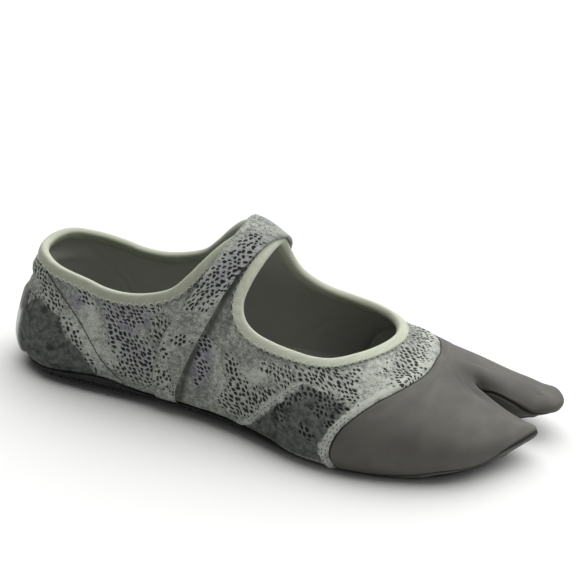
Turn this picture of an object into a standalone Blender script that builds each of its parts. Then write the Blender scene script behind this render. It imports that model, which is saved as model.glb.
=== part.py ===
"""Split-toe strap shoe for a right foot: thin rubber sole, stretch upper, toe cap, strap and bound edges.

The upper is one hollow shell worked out from a table of cross sections. The toe cap, the heel patch, the
strap and the two edge bindings are laid over it from the same section functions.
X runs from heel to toe, minus Y is the lateral (outer) side, Z is up. Sizes are in millimetres.
"""
import bpy
import bmesh
import numpy as np
from mathutils import Vector
from mathutils.bvhtree import BVHTree

for old_object in list(bpy.data.objects):
    bpy.data.objects.remove(old_object, do_unlink=True)

MM = 0.001
ORIGIN = (121.80, -3.12, 0.0)        # middle of the finished shoe in the section frame

# Cloth, rubber and fit
WALL = 1.8                          # stretch upper with its lining
FIT_GAP = 0.35                      # room left between pieces that are laid on each other
TOE_CAP_THICK = 1.0
PATCH_THICK = 0.9
STRAP_THICK = 1.6
BINDING_THICK = 0.7
BINDING_WIDTH = 4.7
CUT_EASE = 0.45                     # the cloth ends this far from the binding's fold
BINDING_GAP = 0.42                  # room between a binding leg and the cloth
INSOLE_THICK = 2.0
INSOLE_EASE = 1.7                   # the insole keeps this far inside the upper's lower edge
CLEFT_EASE = 2.4
SOLE_THICK = 1.6
NUB_HEIGHT = 0.75

# Cross sections of the body, heel to ball. Half widths are taken from the shoe's middle line, the
# waist is the height of the widest place, the feather line is where the upper turns under to the sole,
# a larger fullness makes the section squarer, and the bed is the footbed's height under the ridge.
SECTION_NAMES = ("x", "lateral", "medial", "ridge_y", "ridge_z", "waist",
                 "feather_lateral", "feather_medial", "full_lateral", "full_medial", "bed")
SECTIONS = (
    (32.0, 30.5, 30.0, 0.0, 95.0, 15.0, 4.2, 4.2, 1.65, 1.65, 2.7),
    (60.0, 31.5, 29.5, 1.5, 95.0, 16.0, 4.4, 5.0, 1.70, 1.75, 3.2),
    (85.0, 34.3, 29.0, 4.0, 88.0, 16.0, 4.8, 7.7, 1.70, 1.90, 4.6),
    (103.0, 37.3, 29.5, 6.5, 80.3, 15.5, 4.7, 8.7, 1.70, 2.00, 5.0),
    (120.0, 42.3, 31.0, 8.5, 68.5, 15.0, 3.9, 8.7, 1.70, 2.10, 4.2),
    (140.0, 49.8, 34.5, 10.0, 57.0, 14.0, 2.9, 6.7, 1.65, 2.20, 2.9),
    (160.0, 51.8, 39.5, 11.0, 47.3, 13.0, 2.7, 3.7, 1.85, 2.30, 2.7),
    (178.0, 49.4, 43.5, 12.0, 39.4, 12.7, 2.7, 2.7, 2.10, 2.30, 2.7),
    (192.0, 45.2, 45.0, 12.5, 34.0, 12.5, 2.7, 2.7, 2.25, 2.30, 2.7),
)
HEEL_X = 32.0                       # middle of the round heel
HEEL_BACK = -2.5
HEEL_SQUARE = 2.2                   # how square the heel is in plan
HEEL_LEAN = 0.22                    # fullness taken off at the back, so the heel leans in to the collar
BRANCH_X = 192.0                    # where the ridge parts into two toe lobes

# Plan outline of the two lobes, as (x, y), and their ridges as (x, y, z)
LATERAL_OUTER = ((192.0, -45.2), (205.0, -39.2), (216.0, -30.2), (225.0, -18.5))
LATERAL_TIP = ((225.0, -18.5), (233.0, -7.5), (236.8, 0.8), (231.5, 6.0))
LATERAL_INNER = ((231.5, 6.0), (221.5, 8.4), (212.0, 10.8))
CLEFT_ROOT = ((212.0, 10.8), (208.5, 12.5), (212.0, 14.2))
MEDIAL_INNER = ((234.0, 17.0), (222.0, 15.2), (212.0, 14.2))
MEDIAL_TIP = ((233.0, 43.5), (242.5, 38.5), (246.0, 29.0), (242.5, 20.5), (234.0, 17.0))
MEDIAL_OUTER = ((192.0, 45.0), (206.0, 45.6), (220.0, 45.0), (233.0, 43.5))
LATERAL_RIDGE = ((192.0, 12.5, 34.0), (204.0, 3.5, 26.8), (215.0, -1.5, 21.4), (227.0, -3.0, 16.6))
MEDIAL_RIDGE = ((192.0, 12.5, 34.0), (205.0, 21.0, 28.5), (219.0, 27.0, 22.9), (236.0, 29.5, 19.4))
TOE_FEATHER = 2.7
LATERAL_SPRING, MEDIAL_SPRING = 7.5, 9.0     # lift of the toe tips
SPRING_LENGTH = 50.0
TIP_DEPTH = 3.9                     # widest place of a toe tip over its feather line
TIP_FULL = 2.2
ROOT_FULL, CLEFT_FULL = 1.45, 1.8   # softer sections round the cleft
UNDER_ROUND = 7.0                   # rounding between side wall and sole
CLEFT_ROUND = 3.0
LOW_PART = 0.24                     # share of a section below its widest place
UNDER_TURN = np.radians(85.0)

# Collar edge: height at angles round the heel, then (x, z) along both sides up to the bridge
COLLAR_HEEL = ((0.0, 57.0), (18.0, 57.0), (36.0, 56.8), (54.0, 56.0), (72.0, 54.6))
COLLAR_SIDE = ((36.0, 52.3), (45.0, 50.4), (55.0, 50.3), (65.0, 52.4), (74.0, 56.3), (80.0, 62.7),
               (85.0, 69.6), (90.0, 76.0), (95.0, 81.0))
COLLAR_TOP_X = 97.5
# Throat edge in plan, from the bridge's top round the lateral side, the front and the medial side
THROAT_PLAN = ((112.8, 7.6), (111.9, 1.5), (109.9, -8.0), (107.4, -17.0), (106.0, -23.5), (108.4, -27.3),
               (114.0, -29.5), (122.0, -30.7), (131.0, -31.0), (140.0, -30.2), (148.0, -27.6),
               (155.5, -21.8), (162.0, -13.4), (166.8, -3.0), (169.0, 7.0), (168.0, 15.0), (163.0, 21.3),
               (155.0, 24.7), (146.0, 25.8), (137.0, 26.0), (128.0, 25.2), (120.5, 23.6), (115.8, 20.8),
               (113.8, 16.6), (113.2, 12.0))

# Rear seam of the toe cap as (share of the section, x)
TOE_SEAM = ((0.08, 157.5), (0.15, 155.7), (0.28, 155.7), (0.38, 158.6), (0.46, 163.4), (0.55, 169.6),
            (0.66, 177.4), (0.82, 185.6), (1.0, 188.4))
TOE_CAP_START = 0.10
PATCH_END_HEIGHT = 38.0
# Strap edges as (share of the section, rear x, front x) on each side
STRAP_LATERAL = ((0.08, 72.5, 83.0), (0.22, 71.3, 83.3), (0.31, 71.8, 85.5), (0.40, 74.0, 89.0),
                 (0.48, 79.0, 92.4), (0.58, 84.4, 96.4), (0.70, 89.6, 101.5), (0.86, 95.0, 107.4),
                 (1.0, 96.8, 112.0))
STRAP_MEDIAL = ((0.08, 84.0, 97.5), (0.22, 85.0, 99.0), (0.31, 86.5, 101.0), (0.40, 89.0, 104.0),
                (0.48, 91.5, 107.0), (0.58, 94.0, 110.5), (0.70, 96.4, 113.5), (0.86, 97.8, 114.0),
                (1.0, 96.8, 112.0))
STRAP_LIFT = 1.1                    # extra height where the strap crosses the bindings
STRAP_LIFT_LATERAL = (0.50, 0.66)
STRAP_LIFT_MEDIAL = (0.36, 0.50)

NUB_SPACING = 18.5
NUB_RADIUS = 3.4
NUB_EDGE = 5.0                      # nubs keep this far inside the sole outline
FLAT_SOLE = 1.2                     # sole bottoms lower than this stand on nubs that reach the floor
SOLE_LIP = 1.1                      # thickness of the sole where it cups the cloth
# How far up the sections the sole cups the cloth, as (x, share): it shows beside the heel and stays low at
# the back, under the strap, at the ball and at the toes
SOLE_CUP = ((-3.0, 0.02), (8.0, 0.03), (26.0, 0.10), (40.0, 0.135), (50.0, 0.135), (60.0, 0.10), (68.0, 0.055),
            (100.0, 0.045), (120.0, 0.025), (250.0, 0.02))

MATERIALS = {
    "outsole": ((0.015, 0.015, 0.016), 0.75),
    "insole": ((0.16, 0.16, 0.15), 0.9),
    "upper": ((0.32, 0.33, 0.32), 0.9),
    "toe_cap": ((0.12, 0.118, 0.105), 0.7),
    "heel_patch": ((0.5, 0.52, 0.5), 0.6),
    "strap": ((0.3, 0.31, 0.31), 0.9),
    "collar_binding": ((0.3, 0.32, 0.27), 0.85),
    "throat_binding": ((0.3, 0.32, 0.27), 0.85),
}


# Curves and sections
def table_at(table, value):
    """Row of a table at a value of its first column, as a smooth curve through the rows."""
    rows = np.array(table, float)
    keys = rows[:, 0]
    slopes = np.gradient(rows, keys, axis=0)
    i = int(np.clip(np.searchsorted(keys, value) - 1, 0, len(keys) - 2))
    span = keys[i + 1] - keys[i]
    f = np.clip((value - keys[i]) / span, 0.0, 1.0)
    start = rows[i] * (2 * f ** 3 - 3 * f ** 2 + 1) + slopes[i] * span * (f ** 3 - 2 * f ** 2 + f)
    end = rows[i + 1] * (3 * f ** 2 - 2 * f ** 3) + slopes[i + 1] * span * (f ** 3 - f ** 2)
    return start + end


def spline(a, b, c, d, f):
    """Point of a smooth curve between b and c."""
    return 0.5 * (2 * b + (c - a) * f + (2 * a - 5 * b + 4 * c - d) * f ** 2 + (3 * b - a - 3 * c + d) * f ** 3)


def through(points, share):
    """Point of an open smooth curve through the given points, share 0 to 1."""
    rows = np.array(points, float)
    spans = len(rows) - 1
    place = min(max(share, 0.0), 1.0) * spans
    i = min(int(place), spans - 1)
    ends = np.vstack([2 * rows[0] - rows[1], rows, 2 * rows[-1] - rows[-2]])
    return spline(ends[i], ends[i + 1], ends[i + 2], ends[i + 3], place - i)


def closed_curve(points, steps):
    """Closed smooth curve through the points with a number of steps in each span."""
    rows = np.array(points, float)
    count = len(rows)
    curve = []
    for i in range(count):
        a, b, c, d = (rows[(i + k) % count] for k in (-1, 0, 1, 2))
        curve.extend(spline(a, b, c, d, step / steps) for step in range(steps))
    return np.array(curve)


class Section:
    """Half section of the shoe's form, from the feather line over the widest place to the ridge."""

    def __init__(self, outline, ridge, waist, feather, rounding, fullness, bed):
        self.ridge = np.array(ridge, float)
        reach = np.array(outline, float) - self.ridge[:2]
        self.length = float(np.linalg.norm(reach))
        self.direction = reach / self.length
        self.waist = waist
        self.feather = feather
        self.rounding = rounding
        self.fullness = fullness
        self.bed = bed                  # height of the footbed under the ridge

    def place(self, distance, height):
        flat = self.ridge[:2] + self.direction * distance
        return np.array((flat[0], flat[1], height))

    def feather_distance(self):
        return self.length - self.rounding * (1.0 - np.cos(UNDER_TURN))

    def point(self, share):
        """Point at a share of the section: 0 feather line, LOW_PART widest place, 1 ridge."""
        if share < LOW_PART:
            turn = (1.0 - share / LOW_PART) * UNDER_TURN
            distance = self.length - self.rounding * (1.0 - np.cos(turn))
            drop = (self.waist - self.feather) * np.sin(turn) / np.sin(UNDER_TURN)
            return self.place(distance, self.waist - drop)
        turn = (share - LOW_PART) / (1.0 - LOW_PART) * np.pi / 2
        power = 2.0 / self.fullness
        distance = self.length * max(np.cos(turn), 0.0) ** power
        return self.place(distance, self.waist + (self.ridge[2] - self.waist) * np.sin(turn) ** power)

    def share_at_height(self, height):
        rise = min((height - self.waist) / (self.ridge[2] - self.waist), 1.0)
        turn = np.arcsin(rise ** (self.fullness / 2))
        return LOW_PART + (1.0 - LOW_PART) * turn / (np.pi / 2)

    def share_at_reach(self, reach):
        turn = np.arccos(min(reach / self.length, 1.0) ** (self.fullness / 2))
        return LOW_PART + (1.0 - LOW_PART) * turn / (np.pi / 2)


def side_section(x, side):
    """Section of the body at x; side is -1 for lateral and 1 for medial."""
    row = dict(zip(SECTION_NAMES, table_at(SECTIONS, x)))
    name = "lateral" if side < 0 else "medial"
    ridge = (x, row["ridge_y"], row["ridge_z"])
    return Section((x, side * row[name]), ridge, row["waist"], row["feather_" + name], UNDER_ROUND,
                   row["full_" + name], row["bed"])


def heel_section(angle):
    """Section of the round heel; the angle is 0 at the back, negative to the lateral side, in degrees."""
    row = dict(zip(SECTION_NAMES, SECTIONS[0]))
    back = abs(np.cos(np.radians(angle)))
    across = abs(np.sin(np.radians(angle)))
    half_width = row["lateral"] if angle < 0 else row["medial"]
    x = HEEL_X - (HEEL_X - HEEL_BACK) * back ** (2 / HEEL_SQUARE)
    y = np.sign(angle) * half_width * across ** (2 / HEEL_SQUARE)
    fullness = row["full_lateral"] - HEEL_LEAN * back ** 2
    ridge = (HEEL_X, row["ridge_y"], row["ridge_z"])
    return Section((x, y), ridge, row["waist"], row["feather_lateral"], UNDER_ROUND, fullness, row["bed"])


def toe_height(x, spring):
    """Height of a lobe's feather line at x."""
    return TOE_FEATHER + spring * np.clip((x - BRANCH_X) / SPRING_LENGTH, 0.0, 1.0) ** 1.2


def toe_section(outline, ridge, share, spring, rounding, fullness):
    """Section of a toe lobe; share is 0 at the branch of the ridge and 1 at the lobe's tip."""
    feather = toe_height(outline[0], spring)
    depth = SECTIONS[-1][5] - TOE_FEATHER
    return Section(outline, ridge, feather + depth + (TIP_DEPTH - depth) * share, feather, rounding, fullness,
                   toe_height(ridge[0], spring))


def lobe_sections(outer, tip, inner, ridge, spring, side_count, tip_count):
    """Sections round one toe lobe: its outer side, its tip and its side in the cleft."""
    fullness = SECTIONS[-1][8]
    sections = []
    for k in range(side_count + 1):
        share = k / side_count
        sections.append(toe_section(through(outer, share), through(ridge, share), share, spring, UNDER_ROUND,
                                    fullness + (TIP_FULL - fullness) * share))
    for k in range(1, tip_count):
        turn = k / tip_count
        sections.append(toe_section(through(tip, turn), ridge[-1], 1.0, spring, UNDER_ROUND,
                                    TIP_FULL + (CLEFT_FULL - TIP_FULL) * turn))
    for k in range(side_count + 1):
        share = k / side_count
        rounding = UNDER_ROUND + (CLEFT_ROUND - UNDER_ROUND) * min(1.0, 3.0 * share)
        sections.append(toe_section(through(inner, share), through(ridge, 1.0 - share), 1.0 - share, spring,
                                    rounding, CLEFT_FULL + (ROOT_FULL - CLEFT_FULL) * share ** 2))
    return sections


def reach_from_branch(outline):
    """Distance in plan from the branch of the ridge."""
    return float(np.hypot(outline[0] - LATERAL_RIDGE[0][0], outline[1] - LATERAL_RIDGE[0][1]))


def toe_sections(side_count, tip_count, root_count):
    """Sections from the lateral branch round both lobes and the cleft to the medial branch."""
    lateral = lobe_sections(LATERAL_OUTER, LATERAL_TIP, LATERAL_INNER, LATERAL_RIDGE, LATERAL_SPRING,
                            side_count, tip_count)
    medial = lobe_sections(MEDIAL_OUTER, MEDIAL_TIP, MEDIAL_INNER, MEDIAL_RIDGE, MEDIAL_SPRING,
                           side_count, tip_count)
    root = []
    for k in range(1, root_count):
        outline = through(CLEFT_ROOT, k / root_count)
        spring = LATERAL_SPRING + (MEDIAL_SPRING - LATERAL_SPRING) * k / root_count
        # a shorter section is made fuller, so that the valley behind the cleft stays soft
        fullness = ROOT_FULL * (reach_from_branch(CLEFT_ROOT[0]) / reach_from_branch(outline)) ** 0.75
        root.append(toe_section(outline, LATERAL_RIDGE[0], 0.0, spring, CLEFT_ROUND, fullness))
    return lateral + root + medial[::-1]


def ring_sections(heel_count, side_count, lobe_count, tip_count, root_count):
    """All sections round the shoe, from the heel's back along the lateral side, counter-clockwise."""
    stations = np.linspace(HEEL_X, BRANCH_X, side_count + 1)
    ring = [heel_section(-90.0 * k / heel_count) for k in range(heel_count)]
    ring += [side_section(x, -1) for x in stations[:-1]]
    ring += toe_sections(lobe_count, tip_count, root_count)
    ring += [side_section(x, 1) for x in stations[-2::-1]]
    ring += [heel_section(90.0 * k / heel_count) for k in range(heel_count - 1, 0, -1)]
    return ring


# Meshes
def world(point):
    return Vector([(point[k] - ORIGIN[k]) * MM for k in range(3)])


def surface(rows, closed):
    """Loft over rows of points; equal points are joined, so that ridges and lobe tips close."""
    mesh = bmesh.new()
    verts = [[mesh.verts.new(world(point)) for point in row] for row in rows]
    count = len(rows[0])
    for lower, upper in zip(verts[:-1], verts[1:]):
        for j in range(count if closed else count - 1):
            k = (j + 1) % count
            mesh.faces.new((lower[j], lower[k], upper[k], upper[j]))
    bmesh.ops.remove_doubles(mesh, verts=mesh.verts, dist=0.02 * MM)
    mesh.normal_update()
    return mesh


def lift(mesh, distance):
    """Move a surface outwards along its normals."""
    for vert, normal in [(vert, vert.normal.copy()) for vert in mesh.verts]:
        vert.co += normal * distance * MM
    mesh.normal_update()


def tube(rings):
    """Closed loft of a section carried round a closed edge."""
    mesh = bmesh.new()
    verts = [[mesh.verts.new(world(point)) for point in ring] for ring in rings]
    for i, ring in enumerate(verts):
        following = verts[(i + 1) % len(verts)]
        for j in range(len(ring)):
            k = (j + 1) % len(ring)
            mesh.faces.new((ring[j], ring[k], following[k], following[j]))
    bmesh.ops.recalc_face_normals(mesh, faces=mesh.faces)
    return mesh


parts = bpy.data.collections.new("split_toe_strap_shoe")
cutters = bpy.data.collections.new("cutters")
bpy.context.scene.collection.children.link(parts)
bpy.context.scene.collection.children.link(cutters)


def add_object(name, mesh, collection):
    data = bpy.data.meshes.new(name)
    mesh.to_mesh(data)
    mesh.free()
    thing = bpy.data.objects.new(name, data)
    collection.objects.link(thing)
    if collection is cutters:
        thing.hide_render = True
        thing.display_type = "WIRE"
        return thing
    colour, roughness = MATERIALS[name]
    material = bpy.data.materials.new(name)
    material.use_nodes = True
    shader = material.node_tree.nodes["Principled BSDF"]
    shader.inputs["Base Color"].default_value = (*colour, 1.0)
    shader.inputs["Roughness"].default_value = roughness
    data.materials.append(material)
    return thing


def thicken(thing, thickness, outwards):
    solid = thing.modifiers.new("wall", "SOLIDIFY")
    solid.thickness = thickness * MM
    solid.offset = 1.0 if outwards else -1.0
    solid.use_even_offset = False
    solid.use_rim = True


def combine(thing, other, operation):
    boolean = thing.modifiers.new(other.name, "BOOLEAN")
    boolean.operation = operation
    boolean.solver = "EXACT"
    boolean.object = other


# Upper
LOW_ROWS = np.linspace(0.0, LOW_PART, 4)
HIGH_ROWS = np.linspace(LOW_PART, 1.0, 10)
ROWS = np.concatenate([LOW_ROWS[:-1], HIGH_ROWS])
FINE = dict(heel_count=7, side_count=19, lobe_count=4, tip_count=6, root_count=4)
COARSE = dict(heel_count=6, side_count=12, lobe_count=4, tip_count=6, root_count=4)

ring = ring_sections(**FINE)
upper_mesh = surface([[section.point(t) for section in ring] for t in ROWS], True)
upper_tree = BVHTree.FromBMesh(upper_mesh)
upper = add_object("upper", upper_mesh, parts)
thicken(upper, WALL, False)


def normal_of(section_at, key, share):
    """Outward normal of the form, from neighbouring points of it."""
    step = 0.5
    low, high = max(share - 0.01, 0.0), min(share + 0.01, 1.0)
    along = section_at(key + step).point(share) - section_at(key - step).point(share)
    up = section_at(key).point(high) - section_at(key).point(low)
    normal = np.cross(along, up)
    normal /= np.linalg.norm(normal)
    outwards = section_at(key).point(share) - np.array((*section_at(key).ridge[:2], 20.0))
    return normal if normal @ outwards > 0 else -normal


def collar_edge():
    """Points and normals of the collar edge, from the heel's back along the lateral side and round."""
    edge = []
    for side in (-1, 1):
        half = []
        for angle, height in COLLAR_HEEL[0 if side < 0 else 1:]:
            section = heel_section(side * angle)
            share = section.share_at_height(height)
            half.append((section.point(share), normal_of(heel_section, side * angle, share)))
        for x, height in COLLAR_SIDE:
            section = side_section(x, side)
            share = section.share_at_height(height)
            half.append((section.point(share), normal_of(lambda key: side_section(key, side), x, share)))
        if side < 0:
            top = side_section(COLLAR_TOP_X, side)
            half.append((top.point(1.0), normal_of(lambda key: side_section(key, side), COLLAR_TOP_X, 1.0)))
            edge += half
        else:
            edge += half[::-1]
    return edge


def throat_edge():
    """Points and normals of the throat edge, counter-clockwise seen from above."""
    edge = []
    for x, y in THROAT_PLAN:
        side = -1 if y < side_section(x, -1).ridge[1] else 1
        section = side_section(x, side)
        share = section.share_at_reach(abs(y - section.ridge[1]))
        edge.append((section.point(share), normal_of(lambda key: side_section(key, side), x, share)))
    return edge


def edge_frames(edge, steps):
    """Smooth closed edge with its normals and its directions into the opening."""
    places = closed_curve([point for point, normal in edge], steps)
    normals = closed_curve([normal for point, normal in edge], steps)
    normals /= np.linalg.norm(normals, axis=1)[:, None]
    tangents = np.roll(places, -1, axis=0) - np.roll(places, 1, axis=0)
    inwards = np.cross(normals, tangents)
    inwards /= np.linalg.norm(inwards, axis=1)[:, None]
    middle = places.mean(axis=0)
    if np.mean(np.sum(inwards * (middle - places), axis=1)) < 0:
        inwards = -inwards
    return places, normals, inwards


def opening_cutter(name, frames, low_point, high_point):
    """Lid that takes out an opening square to the wall; its rim keeps a little inside the edge."""
    places, normals, inwards = frames
    rim = places - inwards * (BINDING_THICK + CUT_EASE)
    mesh = bmesh.new()
    count = len(rim)
    below = [mesh.verts.new(world(point)) for point in rim - normals * 6.0]
    above = [mesh.verts.new(world(point)) for point in rim + normals * 6.0]
    bottom = mesh.verts.new(world(low_point))
    top = mesh.verts.new(world(high_point))
    for j in range(count):
        k = (j + 1) % count
        mesh.faces.new((below[j], below[k], above[k], above[j]))
        mesh.faces.new((above[j], above[k], top))
        mesh.faces.new((below[k], below[j], bottom))
    bmesh.ops.recalc_face_normals(mesh, faces=mesh.faces)
    return add_object(name, mesh, cutters)


def on_form(point):
    """Nearest place on the upper's outer faces."""
    hit = upper_tree.find_nearest(world(point))[0]
    return np.array([hit[k] / MM + ORIGIN[k] for k in range(3)])


def binding(name, frames):
    """Edge binding folded round the cut edge: two legs on the cloth, joined over the edge."""
    inner = WALL + BINDING_GAP
    rings = []
    for edge, normal, inwards in zip(*frames):
        place = on_form(edge)
        far = on_form(place - inwards * BINDING_WIDTH)
        mid = on_form(place - inwards * BINDING_WIDTH * 0.5)
        root = on_form(place - inwards * BINDING_THICK)
        rings.append((
            far + normal * BINDING_GAP,
            mid + normal * BINDING_GAP,
            root + normal * BINDING_GAP,
            root - normal * inner,
            far - normal * inner,
            far - normal * (inner + BINDING_THICK),
            place - normal * (inner + 0.3 * BINDING_THICK),
            place + normal * (BINDING_GAP + 0.3 * BINDING_THICK),
            mid + normal * (BINDING_GAP + BINDING_THICK),
            far + normal * (BINDING_GAP + BINDING_THICK),
        ))
    return add_object(name, tube(rings), parts)


collar = edge_frames(collar_edge(), 2)
throat = edge_frames(throat_edge(), 2)
combine(upper, opening_cutter("collar_cutter", collar, (50.0, 0.0, 40.0), (45.0, 0.0, 260.0)), "DIFFERENCE")
combine(upper, opening_cutter("throat_cutter", throat, (138.0, -2.0, 32.0), (136.0, -2.0, 160.0)), "DIFFERENCE")
binding("collar_binding", collar)
binding("throat_binding", throat)


# Toe cap, heel patch and strap, laid over the upper
def seam_points(side, lean):
    """Toe cap line that leans from the seam (0) to the branch of the ridge (1)."""
    points = []
    for t in CAP_ROWS:
        seam = table_at(TOE_SEAM, t)[1]
        points.append(side_section(seam + (BRANCH_X - seam) * lean, side).point(t))
    return points


CAP_ROWS = np.concatenate([[TOE_CAP_START], ROWS[ROWS > TOE_CAP_START + 0.02]])
CAP_LEANS = np.linspace(0.0, 1.0, 6)[:-1]
cap_columns = [seam_points(-1, lean) for lean in CAP_LEANS]
cap_columns += [[section.point(t) for t in CAP_ROWS] for section in toe_sections(4, 6, 4)]
cap_columns += [seam_points(1, lean) for lean in CAP_LEANS[::-1]]
cap_mesh = surface([list(row) for row in zip(*cap_columns)], False)
lift(cap_mesh, FIT_GAP)
thicken(add_object("toe_cap", cap_mesh, parts), TOE_CAP_THICK, True)

patch_sections = [heel_section(-90.0 * k / FINE["heel_count"]) for k in range(3, -4, -1)]
patch_end = heel_section(0.0).share_at_height(PATCH_END_HEIGHT)
patch_rows = [TOE_CAP_START, *ROWS[(ROWS > TOE_CAP_START + 0.02) & (ROWS < patch_end)]]
patch_mesh = surface([[section.point(t) for section in reversed(patch_sections)] for t in patch_rows], False)
lift(patch_mesh, FIT_GAP)
thicken(add_object("heel_patch", patch_mesh, parts), PATCH_THICK, True)


def smooth_step(low, high, value):
    f = np.clip((value - low) / (high - low), 0.0, 1.0)
    return f * f * (3.0 - 2.0 * f)


def strap_rows():
    """Rows of strap points from the lateral foot over the bridge to the medial foot, with their lift."""
    rows = []
    for side, table, rise in ((-1, STRAP_LATERAL, STRAP_LIFT_LATERAL), (1, STRAP_MEDIAL, STRAP_LIFT_MEDIAL)):
        shares = np.concatenate([np.linspace(0.10, 0.88, 13), [0.95, 1.0]])
        half = []
        for t in shares:
            rear, front = table_at(table, t)[1:]
            points = []
            for across in np.linspace(0.0, 1.0, 5):
                x = rear + (front - rear) * across
                section = side_section(x, side)
                point = section.point(t)
                height = FIT_GAP + STRAP_LIFT * smooth_step(*rise, t)
                points.append(point + normal_of(lambda key: side_section(key, side), x, t) * height)
            half.append(points)
        rows += half if side < 0 else half[-2::-1]
    return rows


strap_lines = strap_rows()
strap_mesh = surface([[row[j] for row in strap_lines] for j in range(5)], False)
for face in strap_mesh.faces:
    face.normal_flip()
strap_mesh.normal_update()
thicken(add_object("strap", strap_mesh, parts), STRAP_THICK, True)


# Sole and insole
def bed_point(section, share, height):
    """Footbed place at a share of the way from the ridge line (0) to the feather line (1); the bed is cupped."""
    level = section.bed + (section.feather - section.bed) * share ** 2
    return section.place(section.feather_distance() * share, level + height)


def insole_shares(sections):
    """Edge of the insole on each section line, eased square to the outline."""
    edge = np.array([section.place(section.feather_distance(), 0.0)[:2] for section in sections])
    along = np.roll(edge, -1, axis=0) - np.roll(edge, 1, axis=0)
    along /= np.linalg.norm(along, axis=1)[:, None]
    shares = []
    for section, tangent in zip(sections, along):
        square = abs(section.direction[0] * tangent[1] - section.direction[1] * tangent[0])
        ease = INSOLE_EASE if section.rounding == UNDER_ROUND else CLEFT_EASE
        shares.append(max(1.0 - ease / max(square, 0.14) / section.feather_distance(), 0.3))
    return shares


def cup_point(section, part, off):
    """Place off the cloth's face at a part of the height that the sole cups it."""
    share = table_at(SOLE_CUP, section.place(section.feather_distance(), 0.0)[0])[1] * part
    turn = (1.0 - share / LOW_PART) * UNDER_TURN
    normal = np.array((np.cos(turn) * (section.waist - section.feather), -np.sin(turn) * section.rounding))
    normal *= off / np.linalg.norm(normal)
    flat = section.direction * normal[0]
    return section.point(share) + np.array((flat[0], flat[1], normal[1]))


floor_ring = ring_sections(**COARSE)
SOLE_TOP = -FIT_GAP
SOLE_BOTTOM = SOLE_TOP - SOLE_THICK
sole_rows = [[bed_point(section, share, SOLE_BOTTOM) for section in floor_ring] for share in (0.0, 0.5, 1.0)]
sole_rows.append([cup_point(section, 0.5, FIT_GAP + 0.8 * SOLE_THICK) for section in floor_ring])
sole_rows.append([cup_point(section, 1.0, FIT_GAP + SOLE_LIP) for section in floor_ring])
sole_rows.append([cup_point(section, 1.0, FIT_GAP) for section in floor_ring])
sole_rows.append([cup_point(section, 0.5, FIT_GAP) for section in floor_ring])
sole_rows += [[bed_point(section, share, SOLE_TOP) for section in floor_ring] for share in (1.0, 0.5, 0.0)]
sole_mesh = surface(sole_rows, True)
sole_tree = BVHTree.FromBMesh(sole_mesh)
outsole = add_object("outsole", sole_mesh, parts)

insole_rows = []
for height, places in ((0.0, (0.0, 0.5, 1.0)), (INSOLE_THICK, (1.0, 0.5, 0.0))):
    for place in places:
        insole_rows.append([bed_point(section, place * share, height)
                            for section, share in zip(floor_ring, insole_shares(floor_ring))])
insole_mesh = surface(insole_rows, True)
add_object("insole", insole_mesh, parts)


def sole_bottom(x, y):
    """Height of the sole's underside above the floor, or None outside its outline."""
    start = world((x, y, -20.0))
    hit = sole_tree.ray_cast(start, Vector((0.0, 0.0, 1.0)), 0.03)[0]
    return None if hit is None else hit[2] / MM


nub_mesh = bmesh.new()
row_step = NUB_SPACING * np.sqrt(3.0) / 2.0
for line in range(-4, 5):
    for place in range(20):
        x = 3.0 + NUB_SPACING * (place + 0.5 * (line % 2))
        y = line * row_step
        around = [sole_bottom(x + NUB_EDGE * np.cos(a), y + NUB_EDGE * np.sin(a)) for a in np.arange(6) * np.pi / 3]
        level = sole_bottom(x, y)
        if level is None or None in around:
            continue
        foot = 0.0 if level < FLAT_SOLE else level - NUB_HEIGHT
        made = bmesh.ops.create_cone(nub_mesh, cap_ends=True, segments=6, radius1=NUB_RADIUS * MM,
                                     radius2=(NUB_RADIUS + 0.4) * MM, depth=(level + 1.0 - foot) * MM)
        middle = world((x, y, 0.5 * (level + 1.0 + foot)))
        bmesh.ops.translate(nub_mesh, verts=made["verts"], vec=middle)
combine(outsole, add_object("nubs", nub_mesh, cutters), "UNION")
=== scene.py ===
# %% [markdown]
# # Dressing a split-toe strap shoe
# The shoe is a thin studio shoe for the right foot: a stretch upper with a snakeskin print, a smooth toe
# cap over two toe lobes, a strap over the instep and a black rubber sole with nubs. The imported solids
# already have the shoe's form and sizes, so each step here lays a finer sheet over the same form and
# gives it its finish.

import bmesh
import bpy
import numpy as np
from mathutils import Matrix, Vector, noise
from mathutils.bvhtree import BVHTree
from mathutils.kdtree import KDTree

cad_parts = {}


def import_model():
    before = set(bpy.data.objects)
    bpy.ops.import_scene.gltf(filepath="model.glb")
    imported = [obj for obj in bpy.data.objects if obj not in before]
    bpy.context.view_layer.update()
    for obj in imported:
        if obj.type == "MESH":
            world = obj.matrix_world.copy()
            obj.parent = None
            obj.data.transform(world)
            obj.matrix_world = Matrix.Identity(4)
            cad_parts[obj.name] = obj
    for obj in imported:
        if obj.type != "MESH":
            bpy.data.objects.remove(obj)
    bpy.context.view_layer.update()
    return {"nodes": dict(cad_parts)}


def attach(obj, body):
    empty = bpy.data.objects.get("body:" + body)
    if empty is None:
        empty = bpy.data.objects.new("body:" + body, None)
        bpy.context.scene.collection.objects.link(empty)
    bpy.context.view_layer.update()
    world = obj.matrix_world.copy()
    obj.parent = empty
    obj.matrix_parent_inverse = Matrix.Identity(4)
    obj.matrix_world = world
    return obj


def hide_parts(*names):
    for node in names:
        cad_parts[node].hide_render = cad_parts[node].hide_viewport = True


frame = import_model()
MM = 0.001
print("solids:", sorted(frame["nodes"]))

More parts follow.
